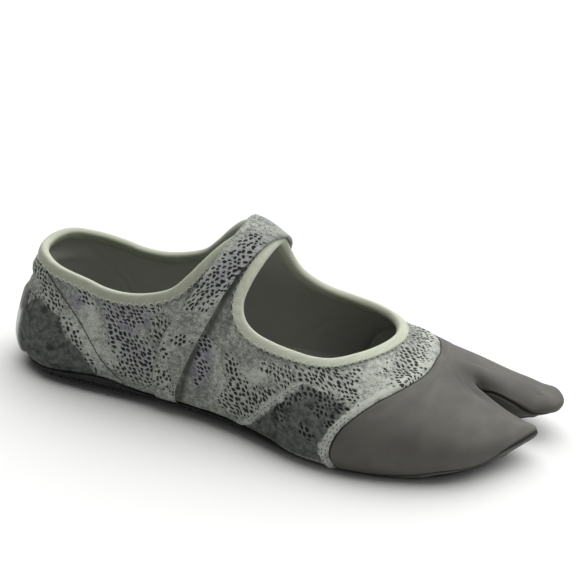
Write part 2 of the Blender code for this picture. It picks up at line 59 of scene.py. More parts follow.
# %% [markdown]
# ## The last
# Shoes are built round a last, a form of the foot. Here the last is a row of half sections. Each one
# starts at the feather line, where the upper turns under to the sole, goes over the widest place and ends
# at the ridge. A short table gives the sections of the body, and plan curves give the two toe lobes. The
# same numbers made the solids; only the instep under the strap is a little lower and rounder here, as the
# cloth draws it down. Lengths are in mm from a point near the heel; ORIGIN moves them to the middle of
# the shoe.

# %% Sections of the body and outlines of the toe lobes
ORIGIN = np.array((121.80, -3.12, 0.0))
SECTION_NAMES = ("x", "lateral", "medial", "ridge_y", "ridge_z", "waist",
                 "feather_lateral", "feather_medial", "full_lateral", "full_medial", "bed")
SECTIONS = (
    (32, 30.5, 30, 0, 95, 15, 4.2, 4.2, 1.65, 1.65, 2.7),
    (60, 31.5, 29.5, 1.5, 95, 16, 4.4, 5, 1.7, 1.75, 3.2),
    (85, 34.3, 29, 4, 84.2, 16, 4.8, 7.7, 1.75, 2.15, 4.6),
    (103, 37.3, 29.5, 6.5, 78.8, 15.5, 4.7, 8.7, 1.73, 2.4, 5),
    (120, 42.3, 31, 8.5, 69.2, 15, 3.9, 8.7, 1.7, 2.15, 4.2),
    (140, 49.8, 34.5, 10, 57, 14, 2.9, 6.7, 1.65, 2.2, 2.9),
    (160, 51.8, 39.5, 11, 47.3, 13, 2.7, 3.7, 1.85, 2.3, 2.7),
    (178, 49.4, 43.5, 12, 39.4, 12.7, 2.7, 2.7, 2.1, 2.3, 2.7),
    (192, 45.2, 45, 12.5, 34, 12.5, 2.7, 2.7, 2.25, 2.3, 2.7),
)
HEEL_X, HEEL_BACK, HEEL_SQUARE, HEEL_LEAN = 32.0, -2.5, 2.2, 0.22
BRANCH_X = 192.0
LATERAL_OUTER = ((192, -45.2), (205, -39.2), (216, -30.2), (225, -18.5))
LATERAL_TIP = ((225, -18.5), (233, -7.5), (236.8, 0.8), (231.5, 6))
LATERAL_INNER = ((231.5, 6), (221.5, 8.4), (212, 10.8))
CLEFT_ROOT = ((212, 10.8), (208.5, 12.5), (212, 14.2))
MEDIAL_INNER = ((234, 17), (222, 15.2), (212, 14.2))
MEDIAL_TIP = ((233, 43.5), (242.5, 38.5), (246, 29), (242.5, 20.5), (234, 17))
MEDIAL_OUTER = ((192, 45), (206, 45.6), (220, 45), (233, 43.5))
LATERAL_RIDGE = ((192, 12.5, 34), (204, 3.5, 26.8), (215, -1.5, 21.4), (227, -3, 16.6))
MEDIAL_RIDGE = ((192, 12.5, 34), (205, 21, 28.5), (219, 27, 22.9), (236, 29.5, 19.4))
TOE_FEATHER, SPRING_LENGTH, TIP_DEPTH = 2.7, 50.0, 3.9
LATERAL_SPRING, MEDIAL_SPRING = 7.5, 9.0
TIP_FULL, ROOT_FULL, CLEFT_FULL = 2.2, 1.45, 1.8
UNDER_ROUND, CLEFT_ROUND = 7.0, 3.0
LOW_PART = 0.24
UNDER_TURN = np.radians(85.0)


# %% Smooth curves through a few chosen points
def table_at(table, value):
    """Row of a table at a value of its first column, as a smooth curve through the rows."""
    rows = np.array(table, float)
    keys = rows[:, 0]
    slopes = np.gradient(rows, keys, axis=0)
    i = int(np.clip(np.searchsorted(keys, value) - 1, 0, len(keys) - 2))
    span = keys[i + 1] - keys[i]
    f = np.clip((value - keys[i]) / span, 0.0, 1.0)
    start = rows[i] * (2 * f ** 3 - 3 * f ** 2 + 1) + slopes[i] * span * (f ** 3 - 2 * f ** 2 + f)
    end = rows[i + 1] * (3 * f ** 2 - 2 * f ** 3) + slopes[i + 1] * span * (f ** 3 - f ** 2)
    return start + end


def spline(a, b, c, d, f):
    """Point of a smooth curve between b and c."""
    bend = (2 * a - 5 * b + 4 * c - d) * f ** 2 + (3 * b - a - 3 * c + d) * f ** 3
    return 0.5 * (2 * b + (c - a) * f + bend)


def through(points, share):
    """Point of an open smooth curve through the given points, share 0 to 1."""
    rows = np.array(points, float)
    spans = len(rows) - 1
    place = min(max(share, 0.0), 1.0) * spans
    i = min(int(place), spans - 1)
    ends = np.vstack([2 * rows[0] - rows[1], rows, 2 * rows[-1] - rows[-2]])
    return spline(ends[i], ends[i + 1], ends[i + 2], ends[i + 3], place - i)


def closed_curve(points, steps):
    """Closed smooth curve through the points with a number of steps in each span."""
    rows = np.array(points, float)
    count = len(rows)
    curve = []
    for i in range(count):
        a, b, c, d = (rows[(i + k) % count] for k in (-1, 0, 1, 2))
        curve.extend(spline(a, b, c, d, step / steps) for step in range(steps))
    return np.array(curve)


# %% Half sections of the last
class Section:
    """Half section from the feather line (share 0) over the widest place (LOW_PART) to the ridge (1)."""

    def __init__(self, outline, ridge, waist, feather, rounding, fullness, bed):
        self.ridge = np.array(ridge, float)
        reach = np.array(outline, float) - self.ridge[:2]
        self.length = float(np.linalg.norm(reach))
        self.direction = reach / self.length
        self.waist = waist
        self.feather = feather
        self.rounding = rounding
        self.fullness = fullness
        self.bed = bed

    def place(self, distance, height):
        flat = self.ridge[:2] + self.direction * distance
        return np.array((flat[0], flat[1], height))

    def feather_distance(self):
        return self.length - self.rounding * (1.0 - np.cos(UNDER_TURN))

    def points(self, shares):
        shares = np.asarray(shares, float)
        under = np.clip(1.0 - shares / LOW_PART, 0.0, 1.0) * UNDER_TURN
        over = np.clip((shares - LOW_PART) / (1.0 - LOW_PART), 0.0, 1.0) * np.pi / 2
        power = 2.0 / self.fullness
        low = shares < LOW_PART
        distance = np.where(low, self.length - self.rounding * (1.0 - np.cos(under)),
                            self.length * np.clip(np.cos(over), 0.0, 1.0) ** power)
        height = np.where(low, self.waist - (self.waist - self.feather) * np.sin(under) / np.sin(UNDER_TURN),
                          self.waist + (self.ridge[2] - self.waist) * np.sin(over) ** power)
        flat = self.ridge[:2] + distance[:, None] * self.direction
        return np.column_stack([flat, height])

    def point(self, share):
        return self.points([share])[0]

    def share_at_height(self, height):
        rise = min((height - self.waist) / (self.ridge[2] - self.waist), 1.0)
        return LOW_PART + (1.0 - LOW_PART) * np.arcsin(rise ** (self.fullness / 2)) / (np.pi / 2)

    def share_at_reach(self, reach):
        turn = np.arccos(min(reach / self.length, 1.0) ** (self.fullness / 2))
        return LOW_PART + (1.0 - LOW_PART) * turn / (np.pi / 2)


def side_section(x, side):
    """Section of the body at x; side is -1 for lateral and 1 for medial."""
    row = dict(zip(SECTION_NAMES, table_at(SECTIONS, x)))
    name = "lateral" if side < 0 else "medial"
    ridge = (x, row["ridge_y"], row["ridge_z"])
    return Section((x, side * row[name]), ridge, row["waist"], row["feather_" + name], UNDER_ROUND,
                   row["full_" + name], row["bed"])


def heel_section(angle):
    """Section of the round heel; the angle is 0 at the back, negative to the lateral side, in degrees."""
    row = dict(zip(SECTION_NAMES, SECTIONS[0]))
    back = abs(np.cos(np.radians(angle)))
    across = abs(np.sin(np.radians(angle)))
    half_width = row["lateral"] if angle < 0 else row["medial"]
    x = HEEL_X - (HEEL_X - HEEL_BACK) * back ** (2 / HEEL_SQUARE)
    y = np.sign(angle) * half_width * across ** (2 / HEEL_SQUARE)
    ridge = (HEEL_X, row["ridge_y"], row["ridge_z"])
    return Section((x, y), ridge, row["waist"], row["feather_lateral"], UNDER_ROUND,
                   row["full_lateral"] - HEEL_LEAN * back ** 2, row["bed"])


# %% Sections of the two toe lobes
def toe_height(x, spring):
    """Height of a lobe's feather line at x; the spring lifts the tips."""
    return TOE_FEATHER + spring * np.clip((x - BRANCH_X) / SPRING_LENGTH, 0.0, 1.0) ** 1.2


def toe_section(outline, ridge, share, spring, rounding, fullness):
    """Section of a toe lobe; share is 0 at the branch of the ridge and 1 at the lobe's tip."""
    feather = toe_height(outline[0], spring)
    depth = SECTIONS[-1][5] - TOE_FEATHER
    return Section(outline, ridge, feather + depth + (TIP_DEPTH - depth) * share, feather, rounding, fullness,
                   toe_height(ridge[0], spring))


def lobe_sections(outer, tip, inner, ridge, spring, side_count, tip_count):
    """Sections round one toe lobe: its outer side, its tip and its side in the cleft."""
    fullness = SECTIONS[-1][8]
    sections = []
    for share in np.linspace(0.0, 1.0, side_count + 1):
        sections.append(toe_section(through(outer, share), through(ridge, share), share, spring, UNDER_ROUND,
                                    fullness + (TIP_FULL - fullness) * share))
    for turn in np.linspace(0.0, 1.0, tip_count + 1)[1:-1]:
        sections.append(toe_section(through(tip, turn), ridge[-1], 1.0, spring, UNDER_ROUND,
                                    TIP_FULL + (CLEFT_FULL - TIP_FULL) * turn))
    for share in np.linspace(0.0, 1.0, side_count + 1):
        rounding = UNDER_ROUND + (CLEFT_ROUND - UNDER_ROUND) * min(1.0, 3.0 * share)
        sections.append(toe_section(through(inner, share), through(ridge, 1.0 - share), 1.0 - share, spring,
                                    rounding, CLEFT_FULL + (ROOT_FULL - CLEFT_FULL) * share ** 2))
    return sections


def from_branch(outline):
    """Distance in plan from the branch of the ridge."""
    return float(np.hypot(outline[0] - LATERAL_RIDGE[0][0], outline[1] - LATERAL_RIDGE[0][1]))


def toe_sections(side_count, tip_count, root_count):
    """Sections from the lateral branch round both lobes and the cleft to the medial branch."""
    lateral = lobe_sections(LATERAL_OUTER, LATERAL_TIP, LATERAL_INNER, LATERAL_RIDGE, LATERAL_SPRING,
                            side_count, tip_count)
    medial = lobe_sections(MEDIAL_OUTER, MEDIAL_TIP, MEDIAL_INNER, MEDIAL_RIDGE, MEDIAL_SPRING,
                           side_count, tip_count)
    root = []
    for share in np.linspace(0.0, 1.0, root_count + 1)[1:-1]:
        outline = through(CLEFT_ROOT, share)
        spring = LATERAL_SPRING + (MEDIAL_SPRING - LATERAL_SPRING) * share
        fullness = ROOT_FULL * (from_branch(CLEFT_ROOT[0]) / from_branch(outline)) ** 0.75
        root.append(toe_section(outline, LATERAL_RIDGE[0], 0.0, spring, CLEFT_ROUND, fullness))
    return lateral + root + medial[::-1]


def ring_sections(heel_count, side_count, lobe_count, tip_count, root_count):
    """All sections round the shoe, from the heel's back along the lateral side, and back to the start."""
    stations = np.linspace(HEEL_X, BRANCH_X, side_count + 1)
    ring = [heel_section(-90.0 * k / heel_count) for k in range(heel_count)]
    ring += [side_section(x, -1) for x in stations[:-1]]
    ring += toe_sections(lobe_count, tip_count, root_count)
    ring += [side_section(x, 1) for x in stations[-2::-1]]
    ring += [heel_section(90.0 * k / heel_count) for k in range(heel_count - 1, -1, -1)]
    return ring


print("half sections for a coarse ring:", len(ring_sections(6, 12, 4, 6, 4)))

# %% [markdown]
# ## Laying a sheet
# Cloth, laminate and rubber all start as a flat grid, one bmesh operator, whose vertices are then moved
# onto rows and columns of places on the last. Each corner keeps its flat cloth coordinates in millimetres
# as a UV map, so a print or a weave follows the sheet. A vertex may also carry named numbers, such as how
# dense the print is there, and materials read them as attributes. Places that coincide, at a ridge or
# where a ring closes, are welded.


# %% Lay a grid on rows of places
def world(point):
    return Vector((np.asarray(point) - ORIGIN) * MM)


def laid_sheet(places, cloth=None, marks=None):
    """Grid moved onto places[row, column]; cloth holds flat coordinates, marks holds named arrays."""
    rows, columns = places.shape[:2]
    marks = marks or {}
    sheet = bmesh.new()
    bmesh.ops.create_grid(sheet, x_segments=columns - 1, y_segments=rows - 1, size=0.5)
    flat = sheet.loops.layers.uv.new("cloth")
    layers = {name: sheet.verts.layers.float.new(name) for name in marks}
    spots = [(round((vert.co.y + 0.5) * (rows - 1)), round((vert.co.x + 0.5) * (columns - 1)))
             for vert in sheet.verts]
    sheet.verts.index_update()
    if cloth is not None:
        for face in sheet.faces:
            for loop in face.loops:
                loop[flat].uv = cloth[spots[loop.vert.index]]
    for vert, spot in zip(sheet.verts, spots):
        vert.co = world(places[spot])
        for name, layer in layers.items():
            vert[layer] = marks[name][spot]
    bmesh.ops.remove_doubles(sheet, verts=sheet.verts, dist=0.01 * MM)
    sheet.normal_update()
    return sheet


def raise_sheet(sheet, name):
    """Move each vertex along its normal by the number that it carries under this name, in millimetres."""
    layer = sheet.verts.layers.float[name]
    for vert, normal in [(vert, vert.normal.copy()) for vert in sheet.verts]:
        vert.co += normal * vert[layer] * MM
    sheet.normal_update()


def relax(sheet, verts):
    """One step of smoothing."""
    bmesh.ops.smooth_vert(sheet, verts=verts, factor=0.5, use_axis_x=True, use_axis_y=True, use_axis_z=True)


def within(sheet, middle, radius):
    """Vertices of the sheet that lie within a radius of a place."""
    centre = world(middle)
    return [vert for vert in sheet.verts if (vert.co - centre).length < radius * MM]


def soften(sheet, middle, radius, times):
    """Smooth the sheet round a place where many rows meet."""
    near = [vert for vert in within(sheet, middle, radius) if not vert.is_boundary]
    for _ in range(times):
        relax(sheet, near)
    sheet.normal_update()


def cloth_coordinates(places, middle_row):
    """Flat coordinates: along the middle row from both ends, and up each column."""
    steps = np.linalg.norm(np.diff(places[middle_row], axis=0), axis=1)
    along = np.concatenate([[0.0], np.cumsum(steps)])
    along = np.minimum(along, along[-1] - along)
    rises = np.linalg.norm(np.diff(places, axis=0), axis=2)
    up = np.vstack([np.zeros(places.shape[1]), np.cumsum(rises, axis=0)])
    return np.dstack([np.broadcast_to(along, up.shape), up])


def add_piece(name, mesh, materials, replaced=None):
    """Object at the origin that rides on the shoe, takes a slot's finish and may stand for a solid."""
    data = bpy.data.meshes.new(name)
    mesh.to_mesh(data)
    mesh.free()
    data.shade_smooth()
    for material in materials:
        data.materials.append(material)
    piece = bpy.data.objects.new(name, data)
    bpy.context.scene.collection.objects.link(piece)
    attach(piece, "root")
    if replaced:
        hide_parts(replaced)
    print(name, "has", len(data.polygons), "faces")
    return piece


def thicken(piece, thickness):
    """Give a sheet its wall, on its inner side."""
    wall = piece.modifiers.new("wall", "SOLIDIFY")
    wall.thickness = thickness * MM
    wall.offset = -1.0
    wall.use_even_offset = False
    return wall


# %% [markdown]
# ## Shader sums in Python
# A material is a tree of nodes. Written one by one they are hard to read, so a small class wraps a
# socket: adding or multiplying two of these puts in a Math node, and one method puts in any other node. A
# finish then reads like the sum that it is.


# %% A socket that can be used in sums
class Feed:
    """A socket that feeds other nodes; sums add Math nodes, and add() puts in any other node."""

    def __init__(self, tree, socket=None):
        self.tree = tree
        self.socket = socket

    def add(self, kind, inputs, output=0, **settings):
        node = self.tree.nodes.new("ShaderNode" + kind)
        for name, value in settings.items():
            setattr(node, name, value)
        for key, value in inputs.items():
            if isinstance(value, Feed):
                self.tree.links.new(value.socket, node.inputs[key])
            else:
                node.inputs[key].default_value = value
        return Feed(self.tree, node.outputs[output])

    def math(self, operation, *values):
        return self.add("Math", dict(enumerate(values)), operation=operation)

    def __add__(self, other):
        return self.math("ADD", self, other)

    def __radd__(self, other):
        return self.math("ADD", other, self)

    def __sub__(self, other):
        return self.math("SUBTRACT", self, other)

    def __rsub__(self, other):
        return self.math("SUBTRACT", other, self)

    def __mul__(self, other):
        return self.math("MULTIPLY", self, other)

    def __rmul__(self, other):
        return self.math("MULTIPLY", other, self)

    def __truediv__(self, other):
        return self.math("DIVIDE", self, other)

    def function(self, operation):
        """Function of this value alone, such as SINE or SQRT."""
        return self.math(operation, self)

    def larger(self, other):
        return self.math("MAXIMUM", self, other)

    def smaller(self, other):
        return self.math("MINIMUM", self, other)

    def between(self, low, high):
        """0 at low, 1 at high, eased between and held outside."""
        return self.add("MapRange", {0: self, 1: low, 2: high}, interpolation_type="SMOOTHSTEP")

    def mix(self, first, second):
        """Colour from first (0) to second (1) by this value."""
        return self.add("Mix", {0: self, 6: first, 7: second}, 2, data_type="RGBA")

    def parts(self):
        """The three numbers of a vector."""
        return [self.add("SeparateXYZ", {0: self}, k) for k in range(3)]

    def attribute(self, name):
        return self.add("Attribute", {}, 2, attribute_name=name)

    def noise(self, place, size, detail=2.0):
        """Soft noise whose blobs are about the given size on a place given in millimetres."""
        return self.add("TexNoise", {"Vector": place, "Scale": 1.0 / size, "Detail": detail})


def colour(red, green, blue):
    """Colour of a shader socket from display values of 0 to 255."""
    shown = np.array((red, green, blue)) / 255.0
    linear = np.where(shown <= 0.04045, shown / 12.92, ((shown + 0.055) / 1.055) ** 2.4)
    return (*linear.tolist(), 1.0)


def new_finish(name, roughness, shine=0.5):
    """Material with its shader, and a feed to start sums from."""
    material = bpy.data.materials.new(name)
    material.use_nodes = True
    tree = material.node_tree
    shader = tree.nodes["Principled BSDF"]
    shader.inputs["Roughness"].default_value = roughness
    shader.inputs["Specular IOR Level"].default_value = shine
    return material, Feed(tree), shader


def wire(feed, shader, socket):
    feed.tree.links.new(feed.socket, shader.inputs[socket])


def bumped(root, shader, height, depth):
    """Fine relief of a height of 0 to 1 that is worth a depth in millimetres."""
    bump = root.add("Bump", {"Height": height, "Distance": depth * MM, "Strength": 1.0})
    wire(bump, shader, "Normal")


def cloth_place(root):
    """Flat cloth coordinates in millimetres: the place, and its two numbers."""
    place = root.add("UVMap", {}, uv_map="cloth")
    along, up, flat = place.parts()
    return place, along, up


# %% [markdown]
# ## The printed stretch cloth
# The cloth is a pale grey heather knit with a snakeskin print, a common pattern: near-black bent
# lozenges, each in its own scale with a pale edge, dense in some places and missing in others, over a
# ground with dark and faintly purple areas. Painting an image would tie it to one picture, so the scales
# are the cells of a sheared Voronoi pattern on the flat cloth coordinates, and the vertices say how
# dense, dark, purple or ringed the print is there.

# %% Print cloth
CELL_LONG, CELL_HIGH, CELL_SHEAR = 2.35, 1.95, 0.5
MARK_LONG, MARK_WIDE = 0.92, 0.57
CLOTH_PALE, CLOTH_GREY = colour(182, 185, 176), colour(112, 115, 110)
CLOTH_DARK, CLOTH_SHADE = colour(99, 102, 97), colour(76, 79, 77)
CLOTH_PURPLE, MARK_BLACK = colour(112, 108, 126), colour(23, 25, 27)
# The fold grey is partly the cloth's own darker grey and partly painted shade under the strap.
FOLD_GREY_AND_PAINTED_SHADE, CLOTH_SMUDGE = colour(62, 65, 61), colour(44, 46, 46)


def scale_cells(root, place):
    """Place in a wandering sheared grid of scales, one scale to a cell."""
    wander = root.add("TexNoise", {"Vector": place, "Scale": 0.10, "Detail": 1.0}, 1)
    moved = root.add("VectorMath", {0: wander, 1: (5.0, 5.0, 0.0), 2: place}, operation="MULTIPLY_ADD")
    across, rise, flat = moved.parts()
    sheared = across / CELL_LONG + rise * (CELL_SHEAR / CELL_HIGH)
    return root.add("CombineXYZ", {0: sheared, 1: rise / CELL_HIGH})


def snake_marks(root, place, mass, slant, ring):
    """Black marks where mass is high, and the pale net between the scales."""
    cells = scale_cells(root, place)
    inputs = {"Vector": cells, "Scale": 1.0, "Randomness": 0.55}
    spot = root.add("TexVoronoi", inputs, 2, voronoi_dimensions="2D")
    tie = root.add("TexVoronoi", inputs, 0, voronoi_dimensions="2D", feature="DISTANCE_TO_EDGE")
    chance, turn, growth = root.add("TexVoronoi", inputs, 1, voronoi_dimensions="2D").parts()
    off_x, off_y, flat = root.add("VectorMath", {0: cells, 1: spot}, operation="SUBTRACT").parts()
    near, over = (off_x - off_y * CELL_SHEAR) * CELL_LONG, off_y * CELL_HIGH
    angle = slant + (turn - 0.5) * 0.9
    lean, rise = angle.function("COSINE"), angle.function("SINE")
    long = near * lean + over * rise
    wide = over * lean - near * rise + long * long * (0.15 + ring * 0.75)
    long, wide = long / (MARK_LONG + ring * 0.3), wide / (MARK_WIDE - ring * 0.14)
    reach = (long * long + wide * wide).function("SQRT")
    size = ((mass - chance * 0.45) * 2.2).larger(0.0).smaller(0.85 + growth * 0.40)
    mark = (size - reach).between(-0.14, 0.20)
    net = tie.between(0.16, 0.03) * mass.between(0.30, 0.75)
    return mark, net


def print_cloth():
    material, root, shader = new_finish("print_cloth", 0.88, 0.12)
    place, along, up = cloth_place(root)
    mass, tint, dark = root.attribute("mass"), root.attribute("tint"), root.attribute("dark")
    mottle = root.noise(place, 8.0, 2.0) * 0.4 + root.noise(place, 2.2, 4.0) * 0.6
    grain = root.noise(place, 0.7, 3.0)
    ground = (mottle + (grain - 0.5) * 0.6 - root.attribute("pale") * 0.16).between(0.26, 0.62)
    blotch = root.noise(place, 2.6, 4.0)
    mark, net = snake_marks(root, place, mass, root.attribute("slant"), root.attribute("ring"))
    darkness = (dark + (mottle - 0.5) * 5.0).between(-0.8, 0.8)
    base = ground.mix(CLOTH_PALE, CLOTH_GREY)
    base = (tint * 0.85).mix(base, CLOTH_PURPLE)
    smudge = (root.noise(place, 5.0, 5.0) + (grain - 0.5) * 0.3).between(0.52, 0.66)
    shade = (blotch + (grain - 0.5) * 0.4).between(0.38, 0.62).mix(CLOTH_DARK, CLOTH_SHADE)
    base = darkness.mix(base, (smudge * 0.75).mix(shade, CLOTH_SMUDGE))
    # Painted shade: the grey fold in front of the strap, partly the cloth's darker grey and partly the
    # strap's shadow, and a painted shadow along the strap's front edge
    base = (root.attribute("fold_grey_painted_shade_and_sheen") * 0.9).mix(base, FOLD_GREY_AND_PAINTED_SHADE)
    base = (net * 0.6 * (1.0 - darkness * 0.8)).mix(base, CLOTH_PALE)
    base = (mark * 0.94).mix(base, MARK_BLACK)
    base = (root.attribute("seam").function("ABSOLUTE").between(0.45, 0.15) * 0.8).mix(base, MARK_BLACK)
    wire(base, shader, "Base Color")
    rib = (along * 9.0).function("SINE") * (up * 7.0).function("SINE")
    bumped(root, shader, grain * 0.6 + rib * 0.15 + net * 0.25, 0.12)
    return material


def lining_cloth():
    material, root, shader = new_finish("lining_cloth", 0.92, 0.12)
    place, along, up = cloth_place(root)
    grain = root.noise(place, 0.6)
    wave = (along * 6.0).function("SINE") * (up * 8.0).function("SINE")
    wire((grain * 0.7 + wave * 0.15).between(0.2, 0.7).mix(colour(178, 180, 172), colour(150, 152, 145)),
         shader, "Base Color")
    bumped(root, shader, wave * 0.4 + grain * 0.5, 0.12)
    return material


PRINT = print_cloth()
LINING = lining_cloth()
print("print cloth nodes:", len(PRINT.node_tree.nodes))

# %% [markdown]
# ## Edges of the two openings
# The collar and the throat are cut through the wall and bound with tape. Their edges are closed curves on
# the last, each place with the wall's normal and the direction into the opening, so that the cut, the
# tape and the stitches can all be measured from the same line.

# %% Collar and throat edges
COLLAR_HEEL = ((0, 57), (18, 57), (36, 56.8), (54, 56), (72, 54.6))
COLLAR_SIDE = ((36, 52.3), (45, 50.4), (55, 50.3), (65, 52.4), (74, 56.3), (80, 62.7), (85, 69.2),
               (90, 74.8), (95, 78.6))
COLLAR_TOP_X = 97.5
THROAT_PLAN = ((112.8, 7.6), (111.9, 1.5), (109.9, -8), (107.4, -17), (106, -23.5), (108.4, -27.3),
               (114, -29.5), (122, -30.7), (131, -31), (140, -30.2), (148, -27.6), (155.5, -21.8),
               (162, -13.4), (166.8, -3), (169, 7), (168, 15), (163, 21.3), (155, 24.7), (146, 25.8),
               (137, 26), (128, 25.2), (120.5, 23.6), (115.8, 20.8), (113.8, 16.6), (113.2, 12))


def normal_of(section_at, key, share):
    """Outward normal of the last, from neighbouring points of it."""
    step = 0.5
    low, high = max(share - 0.01, 0.0), min(share + 0.01, 1.0)
    along = section_at(key + step).point(share) - section_at(key - step).point(share)
    up = section_at(key).point(high) - section_at(key).point(low)
    normal = np.cross(along, up)
    normal /= np.linalg.norm(normal)
    outwards = section_at(key).point(share) - np.array((*section_at(key).ridge[:2], 20.0))
    return normal if normal @ outwards > 0 else -normal


def side_normal(x, side, share):
    return normal_of(lambda key: side_section(key, side), x, share)


def collar_edge():
    """Points and normals of the collar edge, from the heel's back along the lateral side and round."""
    edge = []
    for side in (-1, 1):
        half = []
        for angle, height in COLLAR_HEEL[0 if side < 0 else 1:]:
            section = heel_section(side * angle)
            share = section.share_at_height(height)
            half.append((section.point(share), normal_of(heel_section, side * angle, share)))
        for x, height in COLLAR_SIDE:
            section = side_section(x, side)
            share = section.share_at_height(height)
            half.append((section.point(share), side_normal(x, side, share)))
        if side < 0:
            half.append((side_section(COLLAR_TOP_X, side).point(1.0), side_normal(COLLAR_TOP_X, side, 1.0)))
        edge += half if side < 0 else half[::-1]
    return edge


def throat_edge():
    """Points and normals of the throat edge, counter-clockwise seen from above."""
    edge = []
    for x, y in THROAT_PLAN:
        side = -1 if y < side_section(x, -1).ridge[1] else 1
        section = side_section(x, side)
        share = section.share_at_reach(abs(y - section.ridge[1]))
        edge.append((section.point(share), side_normal(x, side, share)))
    return edge


def unit(rows):
    """Rows of vectors, each made one long."""
    return rows / np.linalg.norm(rows, axis=1)[:, None]


def edge_frames(edge, steps):
    """Smooth closed edge with its normals and its directions into the opening."""
    places = closed_curve([point for point, normal in edge], steps)
    normals = unit(closed_curve([normal for point, normal in edge], steps))
    tangents = np.roll(places, -1, axis=0) - np.roll(places, 1, axis=0)
    inwards = unit(np.cross(normals, tangents))
    if np.mean(np.sum(inwards * (places.mean(axis=0) - places), axis=1)) < 0:
        inwards = -inwards
    return places, normals, inwards


EDGE_STEPS = 12
BATCH = 4000      # places measured at a time
collar = edge_frames(collar_edge(), EDGE_STEPS)
throat = edge_frames(throat_edge(), EDGE_STEPS)


def into_opening(points, edge):
    """How far each point lies inside an opening, in millimetres; negative on the cloth."""
    places, normals, inwards = edge
    flat = points.reshape(-1, 3)
    depth = np.empty(len(flat))
    for start in range(0, len(flat), BATCH):
        part = flat[start:start + BATCH]
        nearest = np.argmin(((part[:, None] - places[None]) ** 2).sum(axis=2), axis=1)
        gap = part - places[nearest]
        side = np.sign((gap * inwards[nearest]).sum(axis=1))
        depth[start:start + BATCH] = np.linalg.norm(gap, axis=1) * side
    return depth.reshape(points.shape[:-1])


def step_lengths(places):
    """Length of each step round a closed edge."""
    return np.linalg.norm(np.diff(places, axis=0, append=places[:1]), axis=1)


for name, edge in (("collar", collar), ("throat", throat)):
    print(name, "edge is", round(step_lengths(edge[0]).sum()), "mm round")

# %% [markdown]
# ## Chart of the print and the seams
# The print isn't even over the shoe. A heel panel and a panel at the forefoot are dark, bands of cloth
# along the seams are pale, and the lozenges come in drifts. These are charted in side view, x along the
# shoe and z up, as soft ovals and as lines that the seams follow. The far side isn't seen, so it takes the
# same chart.

# %% Drifts of lozenges, purple areas and pale areas, as (x, z, half length, half height, slope, strength)
DRIFTS = ((11, 49, 5, 5, 0, 0.9), (19.5, 41.5, 8, 3.4, -40, 1.05), (33, 26.8, 6.5, 2.4, -58, 1),
          (43, 15.6, 4, 1.8, -30, 0.8), (7.6, 35.2, 2.6, 2.6, 0, 0.65),
          (36.5, 44.5, 4.5, 2.2, -40, 0.95), (47, 43.5, 2.4, 3.4, -20, 0.9), (50, 35, 2.2, 5, 20, 0.9),
          (52, 30.5, 3.4, 3, 0, 0.85), (57, 41.5, 8, 4.4, 10, 0.85), (66, 46, 6, 2.8, 15, 0.95),
          (72, 39, 3.6, 4.6, -20, 0.9), (63, 26, 11, 6.5, -18, 1), (55, 30, 6, 4, -25, 0.85),
          (64, 15, 13, 3, -8, 0.85), (94, 37, 3.6, 3.6, 20, 0.85), (93.5, 27.8, 2.8, 5.4, 10, 0.9),
          (93.5, 20, 2.8, 2.6, 0, 0.8), (106.5, 31, 3, 4.4, 20, 0.9), (111, 24.5, 4.6, 4, 20, 0.95),
          (114, 18, 9.5, 5.6, 28, 1.1), (124, 23.5, 6, 2.8, 40, 1), (123, 35.2, 3.2, 2.6, 0, 1),
          (129, 34, 3.6, 3, -20, 1), (132, 30.8, 2.4, 2, -20, 0.9), (141.5, 36, 7, 2.8, 8, 1),
          (150.5, 36, 7, 3.2, -5, 1.1), (158, 32.6, 5, 3, -15, 0.9), (157, 38.4, 3, 1.8, 0, 0.75),
          (133.5, 17.2, 2.8, 1.8, -30, 0.8), (144, 16.3, 3.2, 2, -20, 0.95),
          (148, 26.1, 2.4, 2.4, 0, 0.9), (178.5, 37, 5.5, 3, -20, 1), (169, 38.5, 3, 1.6, 0, 0.65))
PURPLES = ((56, 40, 8, 5, 0, 0.8), (55, 33, 5, 4, 0, 0.6), (62, 25, 9, 5, -20, 0.7),
           (93, 29, 3.5, 8, 0, 0.8), (33, 42, 3.5, 3, 0, 0.6), (140, 20, 8, 4, 10, 0.4))
PALES = ((41, 34, 4, 9, 30, 0.9), (48, 24, 4, 8, 25, 0.9), (37, 26, 2.2, 14, 42, 0.8),
         (83, 47, 5, 7, 0, 0.3), (101, 30, 4, 9, 0, 0.4), (118, 31, 5, 5, 0, 0.5),
         (166, 37, 6, 4, 0, 0.8), (184, 36, 4, 6, 0, 0.8), (120, 12, 3, 4, 0, 0.4))
RINGS = ((127, 33.5, 6, 3.6, -20, 1), (66, 46, 7, 2.6, 10, 0.9), (72, 39, 4, 4, 0, 0.7),
         (57, 41.5, 6, 3, 0, 0.6))
# Grey fold in front of the strap, partly a darker grey of the cloth and partly painted shade of the strap
FOLDS_IN_PAINTED_SHADE = ((101.5, 51.5, 9, 2.4, 74, 0.5),)
STRAP_FRONT = ((84, 8), (84.4, 12.6), (87.5, 28.7), (92.5, 40.9), (97, 55.8), (101, 67.2))
HEEL_SEAM = ((12.1, 53), (19, 48.4), (25.4, 42.9), (34.5, 34.1), (41, 25.9), (45.5, 19.6), (52.5, 13),
             (57, 9))
HEEL_DARK = ((2, 30), (8.2, 33.5), (13.8, 37.6), (19.2, 35.4), (25.9, 32.4), (28.8, 25.8), (33, 22.2),
             (37.5, 18.8), (41.5, 14.8), (47, 7))
FORE_PANEL = ((113, 3), (118.5, 8.8), (126, 19), (133, 26.5), (137.5, 30.4), (142, 32.2), (149.5, 31.8),
              (156, 29.8))
TOE_SEAM = ((0, 159), (0.08, 157.5), (0.15, 155.7), (0.28, 155.7), (0.38, 158.6), (0.46, 163.4),
            (0.55, 169.6), (0.66, 177.4), (0.82, 185.6), (1, 188.4))


